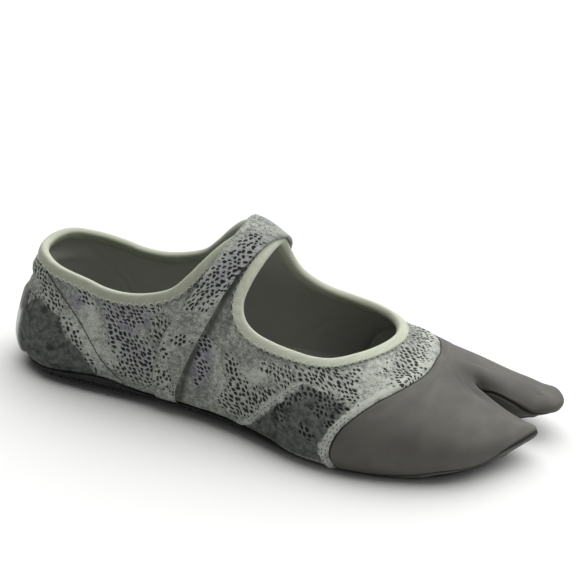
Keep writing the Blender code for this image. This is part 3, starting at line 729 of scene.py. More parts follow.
def oval_reach(oval, x, y):
    """Distance of each place from the middle of a turned oval, 1 at its rim."""
    middle_x, middle_y, half_long, half_wide, slope = oval
    turn = np.radians(slope)
    along = (x - middle_x) * np.cos(turn) + (y - middle_y) * np.sin(turn)
    across = (y - middle_y) * np.cos(turn) - (x - middle_x) * np.sin(turn)
    return np.sqrt((along / half_long) ** 2 + (across / half_wide) ** 2)


def oval_chart(table, x, z):
    """Largest of the table's soft ovals at each place, 1 in the middle of a full one."""
    chart = np.zeros_like(x)
    for *oval, strength in table:
        chart = np.maximum(chart, strength * np.clip(1.45 - 0.8 * oval_reach(oval, x, z), 0.0, 1.0))
    return chart


def beside_line(line, x, z):
    """Distance of each place from a smooth line in side view; positive to the right of its direction."""
    curve = np.array([through(line, share) for share in np.linspace(0.0, 1.0, 60)])
    best = np.full(x.shape, 1e9)
    signed = np.zeros_like(x)
    for start, end in zip(curve[:-1], curve[1:]):
        span = end - start
        f = np.clip(((x - start[0]) * span[0] + (z - start[1]) * span[1]) / (span @ span), 0.0, 1.0)
        gap_x, gap_z = x - start[0] - f * span[0], z - start[1] - f * span[1]
        distance = np.hypot(gap_x, gap_z)
        closer = distance < best
        best = np.where(closer, distance, best)
        signed = np.where(closer, distance * np.sign(gap_x * span[1] - gap_z * span[0] + 1e-12), signed)
    return signed


print("drifts of marks:", len(DRIFTS), "purple areas:", len(PURPLES), "pale areas:", len(PALES))

# %% [markdown]
# ## The upper
# The upper is one stretch shell, open at collar and throat and underneath. A fine sheet is laid on the
# whole last, raised and sunk along its normals for the seams, the sewn-on trim band beside the toe cap,
# the gathers at the heel and the soft creases, and then opened. Its edge is drawn onto the cut line,
# which the tape will cover, and Solidify gives it its wall, with the lining as the inner material.

# %% Places of the upper
WALL, FIT_GAP = 1.8, 0.35
BINDING_THICK, CUT_EASE = 0.7, 0.45
UPPER_RING = dict(heel_count=44, side_count=150, lobe_count=9, tip_count=12, root_count=8)
UPPER_SHARES = np.concatenate([np.linspace(0.0, LOW_PART, 14)[:-1], np.linspace(LOW_PART, 1.0, 62)])
WAIST_ROW = 13
upper_ring = ring_sections(**UPPER_RING)
upper_places = np.stack([section.points(UPPER_SHARES) for section in upper_ring], axis=1)
RAND_DROP = 1.6


def smooth_step(low, high, value):
    f = np.clip((value - low) / (high - low), 0.0, 1.0)
    return f * f * (3.0 - 2.0 * f)


def draw_down(places, shares):
    """Draw the lowest rows down over the sole's edge, at the forefoot and the front of the shoe."""
    amount = smooth_step(3.6, 2.75, places[0, :, 2]) * smooth_step(112.0, 140.0, places[0, :, 0])
    places[..., 2] -= RAND_DROP * amount * smooth_step(0.13, 0.0, shares)[:, None]


draw_down(upper_places, UPPER_SHARES)
upper_cloth = cloth_coordinates(upper_places, WAIST_ROW)
upper_x, upper_z = upper_places[..., 0], upper_places[..., 2]
print("upper sheet:", upper_places.shape[0], "rows of", upper_places.shape[1])


# %% Reliefs of the upper
def ridge_at(distance, width):
    """Soft rounded ridge, 1 in its middle and 0 a width away."""
    return np.exp(-(distance / width) ** 2 * 2.0)


def undulation(places, size):
    """Gentle unevenness of cloth, about -1 to 1."""
    heights = [noise.noise(Vector(place / size)) for place in places.reshape(-1, 3)]
    return np.array(heights).reshape(places.shape[:-1])


# Hollows of the toes in plan, as (x, y, half length, half width, turn, depth): two on the shoulder beside
# the cleft and one on the top of the big toe
TOE_HOLLOWS = ((205, 5.5, 8.5, 5.5, -23, 3.8), (219, 2.5, 9, 4.5, -10, 1.6), (236, 31, 4.2, 9, 0, 1.4))


def toe_hollow(places):
    """Depth of the hollows at each place."""
    x, y, z = np.moveaxis(places, -1, 0)
    depth = sum(most * np.exp(-oval_reach(oval, x, y) ** 2) for *oval, most in TOE_HOLLOWS)
    return depth * smooth_step(10.0, 16.0, z)


TRIM_WIDTH, TRIM_HEIGHT = 4.0, 0.55
GATHER_HEIGHT, DIP_HEIGHT = 47.5, 42.0
CAP_CLEAR, CAP_SINK, BRANCH_SINK, BRANCH_MIDDLE = 0.35, 1.1, 2.8, (195.0, 12.5)
PANEL_START, NO_PANEL = 108.0, -9.0
toe_seam_x = np.array([table_at(TOE_SEAM, t)[1] for t in UPPER_SHARES])
behind_toe = np.broadcast_to(toe_seam_x[:, None], upper_x.shape) - upper_x
heel_seam = beside_line(HEEL_SEAM, upper_x, upper_z)
heel_dark = beside_line(HEEL_DARK, upper_x, upper_z)
fore_panel = np.minimum(beside_line(FORE_PANEL, upper_x, upper_z), behind_toe - TRIM_WIDTH)
fore_panel = np.where(upper_x > PANEL_START, fore_panel, NO_PANEL)
heel_back = smooth_step(24.0, 6.0, upper_x)
sleeve = smooth_step(-0.2, 0.7, behind_toe) * smooth_step(TRIM_WIDTH + 0.7, TRIM_WIDTH - 0.4, behind_toe)
relief = TRIM_HEIGHT * sleeve * smooth_step(40.5, 36.0, upper_z)
relief += 0.35 * smooth_step(14.0, 0.0, behind_toe) * smooth_step(-0.2, 0.7, behind_toe)
relief -= 0.45 * ridge_at(heel_seam, 0.9)
relief += 0.30 * ridge_at(heel_seam - 1.9, 2.0) + 0.22 * ridge_at(heel_seam + 1.9, 2.0)
relief += 0.30 * ridge_at(fore_panel + 1.6, 1.7) * (fore_panel > -8.0) - 0.30 * ridge_at(fore_panel, 0.9)
relief += heel_back * 1.3 * ridge_at(upper_z - GATHER_HEIGHT, 4.0)
relief -= heel_back * 0.9 * ridge_at(upper_z - DIP_HEIGHT, 2.6)
relief += 0.28 * undulation(upper_places, 16.0) + 0.10 * undulation(upper_places, 6.0)
branch_gap = np.linalg.norm(upper_places[..., :2] - np.array(BRANCH_MIDDLE), axis=2)
cap_sink = CAP_SINK + BRANCH_SINK * np.exp(-(branch_gap / 9.0) ** 2)
under_cap = -CAP_CLEAR - smooth_step(-1.0, -4.0, behind_toe) * cap_sink
under_cap -= toe_hollow(upper_places)
relief = np.where(behind_toe < -0.4, under_cap, relief)
print("relief of the upper, mm:", round(relief.min(), 2), "to", round(relief.max(), 2))

# %% Print of the upper
drift_wobble = 2.2 * undulation(upper_places, 7.0)
mass = oval_chart(DRIFTS, upper_x + drift_wobble, upper_z - drift_wobble)
panel_rim = ridge_at(fore_panel - 1.4, 3.4) * 0.95
heel_rim = ridge_at(heel_dark + 1.5, 3.0) * 0.65
panel_band = ridge_at(fore_panel + 1.8, 2.0) * (upper_x < 138.0)
# Painted shadow that the strap's front edge casts on the cloth in front of it
strap_shade = 0.95 * ridge_at(beside_line(STRAP_FRONT, upper_x, upper_z) - 0.6, 2.4)
upper_marks = {
    "relief": relief,
    "mass": np.maximum(mass, np.maximum(panel_rim * (upper_z > 20.0), heel_rim)) * (1.0 - 0.8 * panel_band),
    "tint": oval_chart(PURPLES, upper_x, upper_z),
    "pale": np.maximum(np.maximum(oval_chart(PALES, upper_x, upper_z), panel_band),
                       1.3 * sleeve * smooth_step(39.0, 33.0, upper_z)),
    "dark": np.clip(np.maximum(np.minimum(heel_dark, upper_z - 6.5), np.minimum(fore_panel, upper_z - 3.8)),
                    -9.0, 9.0),
    "fold_grey_painted_shade_and_sheen": np.maximum(oval_chart(FOLDS_IN_PAINTED_SHADE, upper_x, upper_z), strap_shade),
    "ring": oval_chart(RINGS, upper_x, upper_z),
    "slant": np.full(upper_x.shape, np.radians(-38.0)),
    "seam": np.clip(heel_seam, -5.0, 5.0),
    "collar": into_opening(upper_places, collar),
    "throat": into_opening(upper_places, throat),
}

# %% Sheet of the upper, its openings and its wall
upper_sheet = laid_sheet(upper_places, upper_cloth, upper_marks)
raise_sheet(upper_sheet, "relief")
upper_tree = BVHTree.FromBMesh(upper_sheet)


def open_sheet(sheet, name, edge):
    """Take an opening out of the sheet and draw the sheet's new edge onto the cut line."""
    places, normals, inwards = edge
    set_back = BINDING_THICK + CUT_EASE
    rim = KDTree(len(places))
    for index, point in enumerate(places - inwards * set_back):
        rim.insert(world(point), index)
    rim.balance()
    layer = sheet.verts.layers.float[name]
    gone = [vert for vert in sheet.verts if vert[layer] > -set_back]
    bmesh.ops.delete(sheet, geom=gone, context="VERTS")
    for vert in sheet.verts:
        if vert.is_boundary and vert[layer] > -set_back - 4.0:
            vert.co = rim.find(vert.co)[0]
    sheet.normal_update()


open_sheet(upper_sheet, "collar", collar)
open_sheet(upper_sheet, "throat", throat)
upper = add_piece("upper_shell", upper_sheet, [PRINT, LINING], "upper")
upper_wall = thicken(upper, WALL)
upper_wall.material_offset = 1
upper_wall.material_offset_rim = 1

# %% [markdown]
# ## Toe cap
# A smooth matte laminate is stretched over both toe lobes and into the cleft between them. It shares the
# last with the upper, lifted a little. A seam runs round it above the sole, rises at the tip of the outer
# lobe and goes through the cleft half way up; below it a strip of the laminate turns under to the sole.
# Many rows meet at the lobe tips and where the ridge branches, so the sheet is smoothed there, and round
# the branch its heights are eased to the mean of the form.


# %% Toe laminate
def toe_laminate():
    material, root, shader = new_finish("toe_laminate", 0.62, 0.3)
    place, along, up = cloth_place(root)
    cloud = root.noise(place, 14.0, 3.0)
    grain = root.noise(place, 0.5)
    # Dark line along the lower seam, the seam's dark joint, and along the cap's rear edge, a painted shadow
    # line where the cap meets the trim band
    seam = root.attribute("seam").function("ABSOLUTE").smaller(root.attribute("rear")).between(0.95, 0.45)
    base = (cloud * 0.8 + grain * 0.2).between(0.3, 0.7).mix(colour(91, 90, 84), colour(81, 80, 75))
    wire((seam * 0.92).mix(base, colour(20, 21, 20)), shader, "Base Color")
    wire(0.58 + cloud * 0.12, shader, "Roughness")
    bumped(root, shader, grain, 0.03)
    return material


TOE_LAMINATE = toe_laminate()

# %% Places of the toe cap
CAP_LIFT, CAP_THICK = 0.55, 0.45
CAP_SHARES = np.concatenate([np.linspace(0.0, LOW_PART, 26)[:-1], np.linspace(LOW_PART, 0.5, 24)[:-1],
                             np.linspace(0.5, 1.0, 28)])
CAP_LEANS = 1.0 - (1.0 - np.linspace(0.0, 1.0, 31)[:-1]) ** 0.8
# Share of the seam at places round a lobe: 0 to 1 outer side, 1 to 2 tip, 2 to 3 the side in the cleft
LATERAL_SEAM = ((0, 0.1), (0.125, 0.125), (0.25, 0.143), (0.5, 0.13), (0.75, 0.155), (0.875, 0.2),
                (1, 0.28), (1.25, 0.35), (1.5, 0.36), (1.75, 0.32), (2, 0.3), (2.5, 0.36), (3, 0.42))
MEDIAL_SEAM = ((0, 0.07), (1, 0.08), (1.5, 0.1), (1.8, 0.15), (2, 0.21), (2.125, 0.24), (2.25, 0.32),
               (2.375, 0.38), (2.5, 0.41), (2.75, 0.44), (3, 0.42))
SIDE_SEAM = ((0, 0.05), (0.6, 0.055), (1, 0.1))
CAP_COUNTS = (18, 20, 12)


def cap_line(side, lean):
    """Line of the cap that leans from its rear edge (0) to the branch of the ridge (1)."""
    rear = np.array([table_at(TOE_SEAM, t)[1] for t in CAP_SHARES])
    return [side_section(x, side).point(t) for x, t in zip(rear + (BRANCH_X - rear) * lean, CAP_SHARES)]


def seam_shares(side_count, tip_count, root_count):
    """Share of the seam on each toe section."""
    turns = np.concatenate([np.linspace(0.0, 1.0, side_count + 1), np.linspace(1.0, 2.0, tip_count + 1)[1:-1],
                            np.linspace(2.0, 3.0, side_count + 1)])
    lateral, medial = ([table_at(table, turn)[1] for turn in turns] for table in (LATERAL_SEAM, MEDIAL_SEAM))
    return lateral + [LATERAL_SEAM[-1][1]] * (root_count - 1) + medial[::-1]


side_seams = [table_at(SIDE_SEAM, lean)[1] for lean in CAP_LEANS]
cap_seams = side_seams + seam_shares(*CAP_COUNTS) + side_seams[::-1]
cap_columns = [cap_line(-1, lean) for lean in CAP_LEANS]
cap_columns += [section.points(CAP_SHARES) for section in toe_sections(*CAP_COUNTS)]
cap_columns += [cap_line(1, lean) for lean in CAP_LEANS[::-1]]
cap_places = np.stack([np.array(column) for column in cap_columns], axis=1)
draw_down(cap_places, CAP_SHARES)
cap_cloth = cloth_coordinates(cap_places, 25)
print("toe cap sheet:", cap_places.shape[0], "rows of", cap_places.shape[1])

# %% Ease the branch of the ridge
BRANCH_PLACE, BRANCH_FRONT, VALLEY_START = (193.2, 12.5, 33.5), (194.5, 12.5, 32.5), (198.0, 12.5)
DOWN, RAY_HEIGHT, DEEPEST = Vector((0.0, 0.0, -1.0)), 30.0, 6.0


def level_out(sheet, tree, middle, radius, reach, slack):
    """Ease the sheet's top round a place in plan to the mean height of the form, whatever its rows do."""
    def height_at(vert, x, y):
        hit = tree.ray_cast(vert.co + Vector((x, y, RAY_HEIGHT)) * MM, DOWN)[0]
        return None if hit is None else hit.z

    around = [(0.0, 0.0, 1.0)]
    around += [(reach * part * np.cos(turn), reach * part * np.sin(turn), np.exp(-2.0 * part ** 2))
               for part in (0.35, 0.7, 1.0) for turn in np.arange(10) * np.pi / 5]
    moves = []
    for vert in sheet.verts:
        gap = np.hypot(*(np.array(vert.co) / MM + ORIGIN)[:2] - np.array(middle[:2]))
        above = height_at(vert, 0.0, 0.0) if gap < radius else None
        if above is None or above - vert.co.z > slack * MM:
            continue
        hits = [(height_at(vert, x, y), weight) for x, y, weight in around]
        hits = [hit for hit in hits if hit[0] is not None and hit[0] > vert.co.z - DEEPEST * MM]
        mean = sum(height * weight for height, weight in hits) / sum(weight for height, weight in hits)
        moves.append((vert, (mean - vert.co.z) * smooth_step(radius, 0.55 * radius, gap)))
    for vert, rise in moves:
        vert.co.z += rise
    sheet.normal_update()


def untangle(sheet, middle, radius, times):
    """Smooth the corners near a place of faces that lie turned over."""
    for _ in range(times):
        turned = [vert for vert in within(sheet, middle, radius)
                  if any(face.normal.z < 0.3 for face in vert.link_faces)]
        if not turned:
            break
        relax(sheet, turned)
        sheet.normal_update()
    print("turned corners left at the branch:", len(turned))


# %% Toe cap
TIP_SOFT, SLIVER = 4.2, 0.5
cap_rear = np.minimum(np.linalg.norm(cap_places - cap_places[:, :1], axis=2),
                      np.linalg.norm(cap_places - cap_places[:, -1:], axis=2))
cap_up = cap_cloth[..., 1]
seam_up = [np.interp(seam, CAP_SHARES, column) for seam, column in zip(cap_seams, cap_up.T)]
from_seam = cap_up - np.array(seam_up)
cap_relief = CAP_LIFT - 0.45 * smooth_step(1.2, 0.0, cap_rear) - 0.40 * ridge_at(from_seam, 0.7)
cap_relief -= toe_hollow(cap_places)
cap_relief += 0.22 * undulation(cap_places, 22.0) * smooth_step(0.0, 6.0, cap_rear)
cap_relief += 0.22 * ridge_at(from_seam - 1.3, 1.3) + 0.10 * ridge_at(from_seam + 1.3, 1.3)
# The rear mark also places the painted shadow line along the cap's rear edge
cap_marks = {"relief": cap_relief, "seam": np.clip(from_seam, -5.0, 5.0),
             "rear": np.minimum(cap_rear - 0.2, 5.0)}
cap_sheet = laid_sheet(cap_places, cap_cloth, cap_marks)
raise_sheet(cap_sheet, "relief")
for tip in (LATERAL_RIDGE[-1], MEDIAL_RIDGE[-1]):
    soften(cap_sheet, tip, TIP_SOFT, 50)
cap_form = BVHTree.FromBMesh(cap_sheet)
bmesh.ops.remove_doubles(cap_sheet, verts=within(cap_sheet, BRANCH_PLACE, 5.0), dist=SLIVER * MM)
soften(cap_sheet, BRANCH_PLACE, 4.5, 12)
untangle(cap_sheet, BRANCH_FRONT, 5.5, 40)
level_out(cap_sheet, cap_form, BRANCH_PLACE, 8.0, 3.0, 4.0)
for _ in range(3):
    level_out(cap_sheet, BVHTree.FromBMesh(cap_sheet), VALLEY_START, 12.0, 4.5, 0.5)
toe_cap = add_piece("toe_cap_laminate", cap_sheet, [TOE_LAMINATE], "toe_cap")
thicken(toe_cap, CAP_THICK)

# %% [markdown]
# ## Heel patch
# A small smooth patch covers the back of the heel, pale where the light catches it. It is laid like the
# toe cap.


# %% Heel patch
def patch_laminate():
    material, root, shader = new_finish("patch_laminate", 0.5)
    place, along, up = cloth_place(root)
    cloud = root.noise(place, 8.0, 3.0)
    pale = cloud.between(0.3, 0.7).mix(colour(212, 215, 209), colour(190, 194, 188))
    blotch = root.noise(place, 3.0, 4.0).between(0.38, 0.62).mix(colour(100, 103, 99), colour(76, 79, 77))
    side = (root.attribute("side") + (cloud - 0.5) * 0.3).between(0.1, 0.9)
    wire(side.mix(pale, blotch), shader, "Base Color")
    bumped(root, shader, root.noise(place, 0.6), 0.03)
    return material


PATCH_START, PATCH_ANGLE, PATCH_END_HEIGHT, PATCH_THICK, PATCH_FEATHER = 0.10, 38.6, 36.0, 0.9, 2.6
patch_end = heel_section(0.0).share_at_height(PATCH_END_HEIGHT)
PATCH_SHARES = np.concatenate([np.linspace(PATCH_START, LOW_PART, 12)[:-1],
                               np.linspace(LOW_PART, patch_end, 22)])
patch_angles = np.linspace(PATCH_ANGLE, -PATCH_ANGLE, 48)
patch_places = np.stack([heel_section(angle).points(PATCH_SHARES) for angle in patch_angles], axis=1)
patch_cloth = cloth_coordinates(patch_places, 11)
patch_rim = np.minimum(patch_cloth[..., 0], patch_cloth[-1:, :, 1] - patch_cloth[..., 1])
patch_z = patch_places[..., 2]
patch_side = np.maximum(smooth_step(3.0, 0.5, patch_cloth[..., 0]), smooth_step(24.0, 30.0, patch_z))
patch_side = np.maximum(patch_side, smooth_step(12.0, 7.0, patch_z))
patch_relief = FIT_GAP + PATCH_THICK - smooth_step(PATCH_FEATHER, 0.0, patch_rim)
patch_sheet = laid_sheet(patch_places, patch_cloth, {"relief": patch_relief, "side": patch_side})
raise_sheet(patch_sheet, "relief")
heel_patch = add_piece("heel_patch_laminate", patch_sheet, [patch_laminate()], "heel_patch")
thicken(heel_patch, PATCH_THICK)

# %% [markdown]
# ## Strap
# The strap starts under the sole on the lateral side, runs up along the collar, over the instep and down
# the medial side. It is a folded strip of the print cloth with rounded edges. Two short tables say where
# its rear and front edges lie at each share of the sections, and a rounded profile is carried along it.
# Where the strap is sewn down it thins towards its rear edge and its ends, so only its front edge shows as
# a step.

# %% Strap
STRAP_LATERAL = ((0, 73, 83), (0.08, 72.5, 83), (0.22, 71.3, 83.3), (0.31, 71.8, 85.5), (0.4, 74, 89),
                 (0.48, 79, 92.4), (0.58, 84.4, 96.4), (0.7, 89.6, 101.5), (0.86, 95, 107.4),
                 (1, 96.8, 112))
STRAP_MEDIAL = ((0, 83.6, 97), (0.08, 84, 97.5), (0.22, 85, 99), (0.31, 86.5, 101), (0.4, 89, 104),
                (0.48, 91.5, 107), (0.58, 94, 110.5), (0.7, 96.4, 113.5), (0.86, 97.8, 114),
                (1, 96.8, 112))
STRAP_THICK, STRAP_LIFT, STRAP_CROWN, STRAP_FLAT = 1.6, 1.1, 0.25, 0.78
STRAP_LIFT_LATERAL, STRAP_LIFT_MEDIAL = (0.50, 0.66), (0.36, 0.50)
SEWN_EASE, TUCK_END = 0.16, 0.16
STRAP_SHARES = np.concatenate([np.linspace(0.04, 0.90, 74), np.linspace(0.91, 1.0, 9)])


def strap_profile(width):
    """Strap section as (share of the width from the rear edge, height), round once."""
    radius = STRAP_THICK / 2
    rear = [(radius - radius * np.cos(a), radius + radius * np.sin(a)) for a in np.linspace(-1.57, 1.57, 7)]
    top = [(x, STRAP_THICK + STRAP_CROWN * np.sin(np.pi * (x - radius) / (width - 2 * radius)))
           for x in np.linspace(radius, width - radius, 16)[1:-1]]
    front = [(width - x, height) for x, height in rear[::-1]]
    under = [(x, 0.0) for x in np.linspace(width - radius, radius, 8)[1:-1]]
    return [(x / width, height) for x, height in rear + top + front + under]


def strap_loop(side, table, rise, share):
    """Places once round the strap at a share of the sections."""
    rear, front = table_at(table, share)[1:]
    base = FIT_GAP + STRAP_LIFT * smooth_step(*rise, share)
    sewn = smooth_step(rise[0], rise[0] - SEWN_EASE, share)
    tucked = smooth_step(TUCK_END, STRAP_SHARES[0], share)
    loop = []
    for across, height in strap_profile(front - rear):
        x = rear + (front - rear) * across
        lift = base + height * (1.0 - STRAP_FLAT * max(sewn * (1.0 - across), tucked))
        loop.append(side_section(x, side).point(share) + side_normal(x, side, share) * lift)
    return loop


strap_loops = [strap_loop(-1, STRAP_LATERAL, STRAP_LIFT_LATERAL, t) for t in STRAP_SHARES]
strap_loops += [strap_loop(1, STRAP_MEDIAL, STRAP_LIFT_MEDIAL, t) for t in STRAP_SHARES[-2::-1]]
strap_places = np.array([loop + loop[:1] for loop in strap_loops])
strap_cloth = cloth_coordinates(strap_places, 40)
strap_x, strap_z = strap_places[..., 0], strap_places[..., 2]
STRAP_PURPLES = ((97.5, 68, 10, 4, 48, 0.75),)
STRAP_DRIFTS = ((94.5, 64.5, 13.5, 5, 55, 1.15), (101.5, 74.3, 5.5, 4, 40, 1.1),
                (85, 52.5, 6, 2.4, 5, 0.9), (82.5, 37, 5, 2.2, 10, 1), (75.5, 29.6, 2.6, 3.4, 0, 0.85),
                (76, 18, 4, 5, 0, 0.85), (84, 13.5, 3, 3, 0, 0.85), (107, 84, 9, 1.6, 0, 0.55))
strap_wobble = 1.6 * undulation(strap_places, 7.0)
strap_marks = {
    "mass": oval_chart(STRAP_DRIFTS, strap_x + strap_wobble, strap_z),
    "tint": oval_chart(STRAP_PURPLES, strap_x, strap_z),
    "pale": 0.15 + 0.45 * smooth_step(48.0, 64.0, strap_z) - 0.25 * smooth_step(74.0, 80.0, strap_z),
    "dark": np.full(strap_x.shape, -9.0),
    "fold_grey_painted_shade_and_sheen": np.zeros(strap_x.shape),
    "ring": np.full(strap_x.shape, 0.15),
    "slant": np.full(strap_x.shape, np.radians(72.0)),
    "seam": np.full(strap_x.shape, 5.0),
}
strap_sheet = laid_sheet(strap_places, strap_cloth, strap_marks)
bmesh.ops.holes_fill(strap_sheet, edges=[edge for edge in strap_sheet.edges if edge.is_boundary], sides=0)
bmesh.ops.recalc_face_normals(strap_sheet, faces=strap_sheet.faces)
add_piece("instep_strap", strap_sheet, [PRINT], "strap")

# %% [markdown]
# ## Edge bindings
# Both openings are bound with the same pale grey-green tape, folded over the cut edge with a leg on each
# side. Its colour is painted a little darker at the collar, where the tape lies in shade, and lighter at the
# throat, where it faces the light, and along its rolled fold it carries a painted highlight. A profile,
# distance from the fold and height over the cloth, is carried round the edge; each leg is seated on the laid
# sheet. A zigzag of thread holds the outer leg down.


# %% Binding tape and thread
def binding_tape(name, light, dark):
    material, root, shader = new_finish(name, 0.8, 0.25)
    place, along, up = cloth_place(root)
    cloud, grain = root.noise(place, 4.0), root.noise(place, 0.4)
    base = (cloud * 0.6 + grain * 0.4).between(0.3, 0.7).mix(light, dark)
    # Painted highlight: the tape is lighter along its rolled fold, which faces the light
    wire((root.attribute("fold_grey_painted_shade_and_sheen") * 0.5).mix(base, colour(200, 204, 185)), shader, "Base Color")
    weave = (along * 10.0).function("SINE") * (up * 10.0).function("SINE")
    bumped(root, shader, grain * 0.6 + weave * 0.2, 0.06)
    return material


def thread(name, light, dark):
    material, root, shader = new_finish(name, 0.7)
    place = root.add("TexCoord", {}, 3)
    grain = root.add("TexNoise", {"Vector": place, "Scale": 2500.0})
    wire(grain.mix(light, dark), shader, "Base Color")
    bumped(root, shader, grain, 0.03)
    return material


# Painted shade and light: the collar tape is a shaded copy and the throat tape a lit copy of one tape colour
SHADED_COLLAR_TAPE = binding_tape("collar_tape_painted_shade", colour(168, 172, 154), colour(150, 154, 138))
LIT_THROAT_TAPE = binding_tape("throat_tape_painted_light", colour(196, 200, 182), colour(178, 182, 165))
PALE_THREAD = thread("pale_thread", colour(226, 230, 214), colour(198, 202, 188))
DARK_THREAD = thread("dark_thread", colour(78, 80, 78), colour(50, 52, 52))

# %% Bindings
BINDING_GAP = 0.42
INNER_FACE = -(WALL + BINDING_GAP)
# Distance from the fold, height over the cloth
TAPE_PROFILE = ((4.7, 0.42), (2.9, 0.42), (1.15, 0.42), (0.95, -0.9), (1.15, INNER_FACE),
                (4.7, INNER_FACE), (4.75, INNER_FACE - 0.4), (4.5, INNER_FACE - 0.7),
                (3, INNER_FACE - 0.72), (1.5, INNER_FACE - 0.68), (0.7, INNER_FACE - 0.45),
                (0.2, INNER_FACE + 0.1), (0, -1.2), (0, -0.5), (0.15, 0.2), (0.5, 0.75), (1.1, 1.1),
                (2, 1.27), (3.1, 1.25), (4.1, 1.12), (4.6, 0.98), (4.78, 0.7))
# The tape gathers a little at the throat's tight corner
GATHER_CORNER, GATHER_DEPTH, GATHER_SPREAD, GATHER_PITCH = np.array((106.5, -24.0)), 0.16, 70.0, 3.4


def on_sheet(point):
    """Nearest place on the upper's laid sheet."""
    hit = upper_tree.find_nearest(world(point))[0]
    return np.array(hit) / MM + ORIGIN


def binding(name, edge, finish, replaced):
    """Tape round one opening."""
    rings, fold_sheen = [], []
    for place, normal, inwards in zip(*edge):
        seats = {far: on_sheet(place - inwards * far) for far in {far for far, height in TAPE_PROFILE}}
        corner = np.exp(-np.sum((place[:2] - GATHER_CORNER) ** 2) / GATHER_SPREAD)
        gather = GATHER_DEPTH * corner * np.sin(place[1] * GATHER_PITCH)
        rings.append([seats[far] + normal * (height + gather * (far > 0.9)) for far, height in TAPE_PROFILE])
        # Weight of the painted highlight along the tape's fold
        fold_sheen.append([smooth_step(1.3, 0.0, far) for far, height in TAPE_PROFILE])
    rings = np.pad(np.array(rings), ((0, 1), (0, 1), (0, 0)), mode="wrap")
    fold_sheen = np.pad(np.array(fold_sheen), ((0, 1), (0, 1)), mode="wrap")
    tape = laid_sheet(rings, cloth_coordinates(rings, 0), {"fold_grey_painted_shade_and_sheen": fold_sheen})
    bmesh.ops.recalc_face_normals(tape, faces=tape.faces)
    return add_piece(name, tape, [finish], replaced)


binding("collar_tape_painted_shade", collar, SHADED_COLLAR_TAPE, "collar_binding")
binding("throat_tape_painted_light", throat, LIT_THROAT_TAPE, "throat_binding")


# %% Zigzag stitches
def capsule(mesh, start, end, radius):
    """One stitch: a slim drop from start to end."""
    span = end - start
    turn = span.to_track_quat("Z", "Y").to_matrix().to_4x4()
    size = Matrix.Diagonal((radius, radius, span.length * 0.55, 1.0))
    bmesh.ops.create_icosphere(mesh, subdivisions=1, radius=1.0,
                               matrix=Matrix.Translation((start + end) / 2) @ turn @ size)


# Distance from the fold and height of the zigzag's two sides
ZIGZAG_ON_TAPE, ZIGZAG_ON_CLOTH = (3.9, 1.25), (5.5, 0.30)
ZIGZAG_PITCH, ZIGZAG_THREAD = 1.5, 0.20


def zigzag(name, edge):
    """Zigzag of thread over the tape's lower edge."""
    places, normals, inwards = edge
    along = np.concatenate([[0.0], np.cumsum(step_lengths(places))])
    count = 2 * round(along[-1] / ZIGZAG_PITCH / 2)
    points = []
    for k in range(count):
        i = int(np.searchsorted(along, along[-1] * k / count, side="right") - 1)
        reach, height = ZIGZAG_ON_TAPE if k % 2 else ZIGZAG_ON_CLOTH
        points.append(world(on_sheet(places[i] - inwards[i] * reach) + normals[i] * height))
    mesh = bmesh.new()
    for start, end in zip(points, points[1:] + points[:1]):
        capsule(mesh, start, end, ZIGZAG_THREAD * MM)
    return add_piece(name, mesh, [PALE_THREAD])


zigzag("collar_stitches", collar)
zigzag("throat_stitches", throat)

# %% Stitch rows of the trim band and of the forefoot panel
STITCH_PITCH, STITCH_LENGTH, STITCH_THREAD, STITCH_LIFT = 2.0, 0.9, 0.24, 0.12
TRIM_ROWS = (1.1, 2.8)      # distances behind the toe cap
PANEL_OFFSET = np.array((-1.2, 1.2))
FAR_OUT = 90.0


def on_side(x, z, side):
    """Place of the laid sheet beside x and z, and its normal."""
    return upper_tree.ray_cast(world((x, side * FAR_OUT, z)), Vector((0.0, -side, 0.0)), 0.2)[:2]


def stitch_row(mesh, line, side):
    """Short stitches along a line in side view."""
    places = [on_side(x, z, side) for x, z in line]
    gone = 0.0
    for (start, normal), beyond in zip(places[:-1], places[1:]):
        span = beyond[0] - start
        gone += span.length
        if gone >= STITCH_PITCH * MM:
            gone = 0.0
            middle = start + normal * STITCH_LIFT * MM
            lie = span.normalized() * STITCH_LENGTH * MM / 2
            capsule(mesh, middle - lie, middle + lie, STITCH_THREAD * MM)


row_mesh = bmesh.new()
panel_line = [through(FORE_PANEL[1:6], f) + PANEL_OFFSET for f in np.linspace(0.0, 0.9, 120)]
for side in (-1, 1):
    for behind in TRIM_ROWS:
        trim_line = []
        for t in np.linspace(0.09, 0.44, 140):
            point = side_section(table_at(TOE_SEAM, t)[1] - behind, side).point(t)
            trim_line.append((point[0], point[2]))
        stitch_row(row_mesh, trim_line, side)
    stitch_row(row_mesh, panel_line, side)
add_piece("panel_stitches", row_mesh, [DARK_THREAD])

# %% [markdown]
# ## Sole and insole
# The outsole is thin black rubber, cupped a little up the sides, with large nubs that carry the shoe and
# small ones between them. The insole is a thin foam footbed with a knitted top. Both are rings of places
# round the same feather line, from the middle of one face round the edge to the middle of the other.


# %% Rubber and footbed cloth
def sole_rubber():
    material, root, shader = new_finish("sole_rubber", 0.7, 0.35)
    place = root.add("TexCoord", {}, 3)
    cloud = root.add("TexNoise", {"Vector": place, "Scale": 120.0, "Detail": 3.0})
    grain = root.add("TexNoise", {"Vector": place, "Scale": 1500.0})
    wire(cloud.between(0.3, 0.7).mix(colour(34, 35, 36), colour(24, 25, 26)), shader, "Base Color")
    wire(0.62 + cloud * 0.16, shader, "Roughness")
    bumped(root, shader, grain, 0.05)
    return material


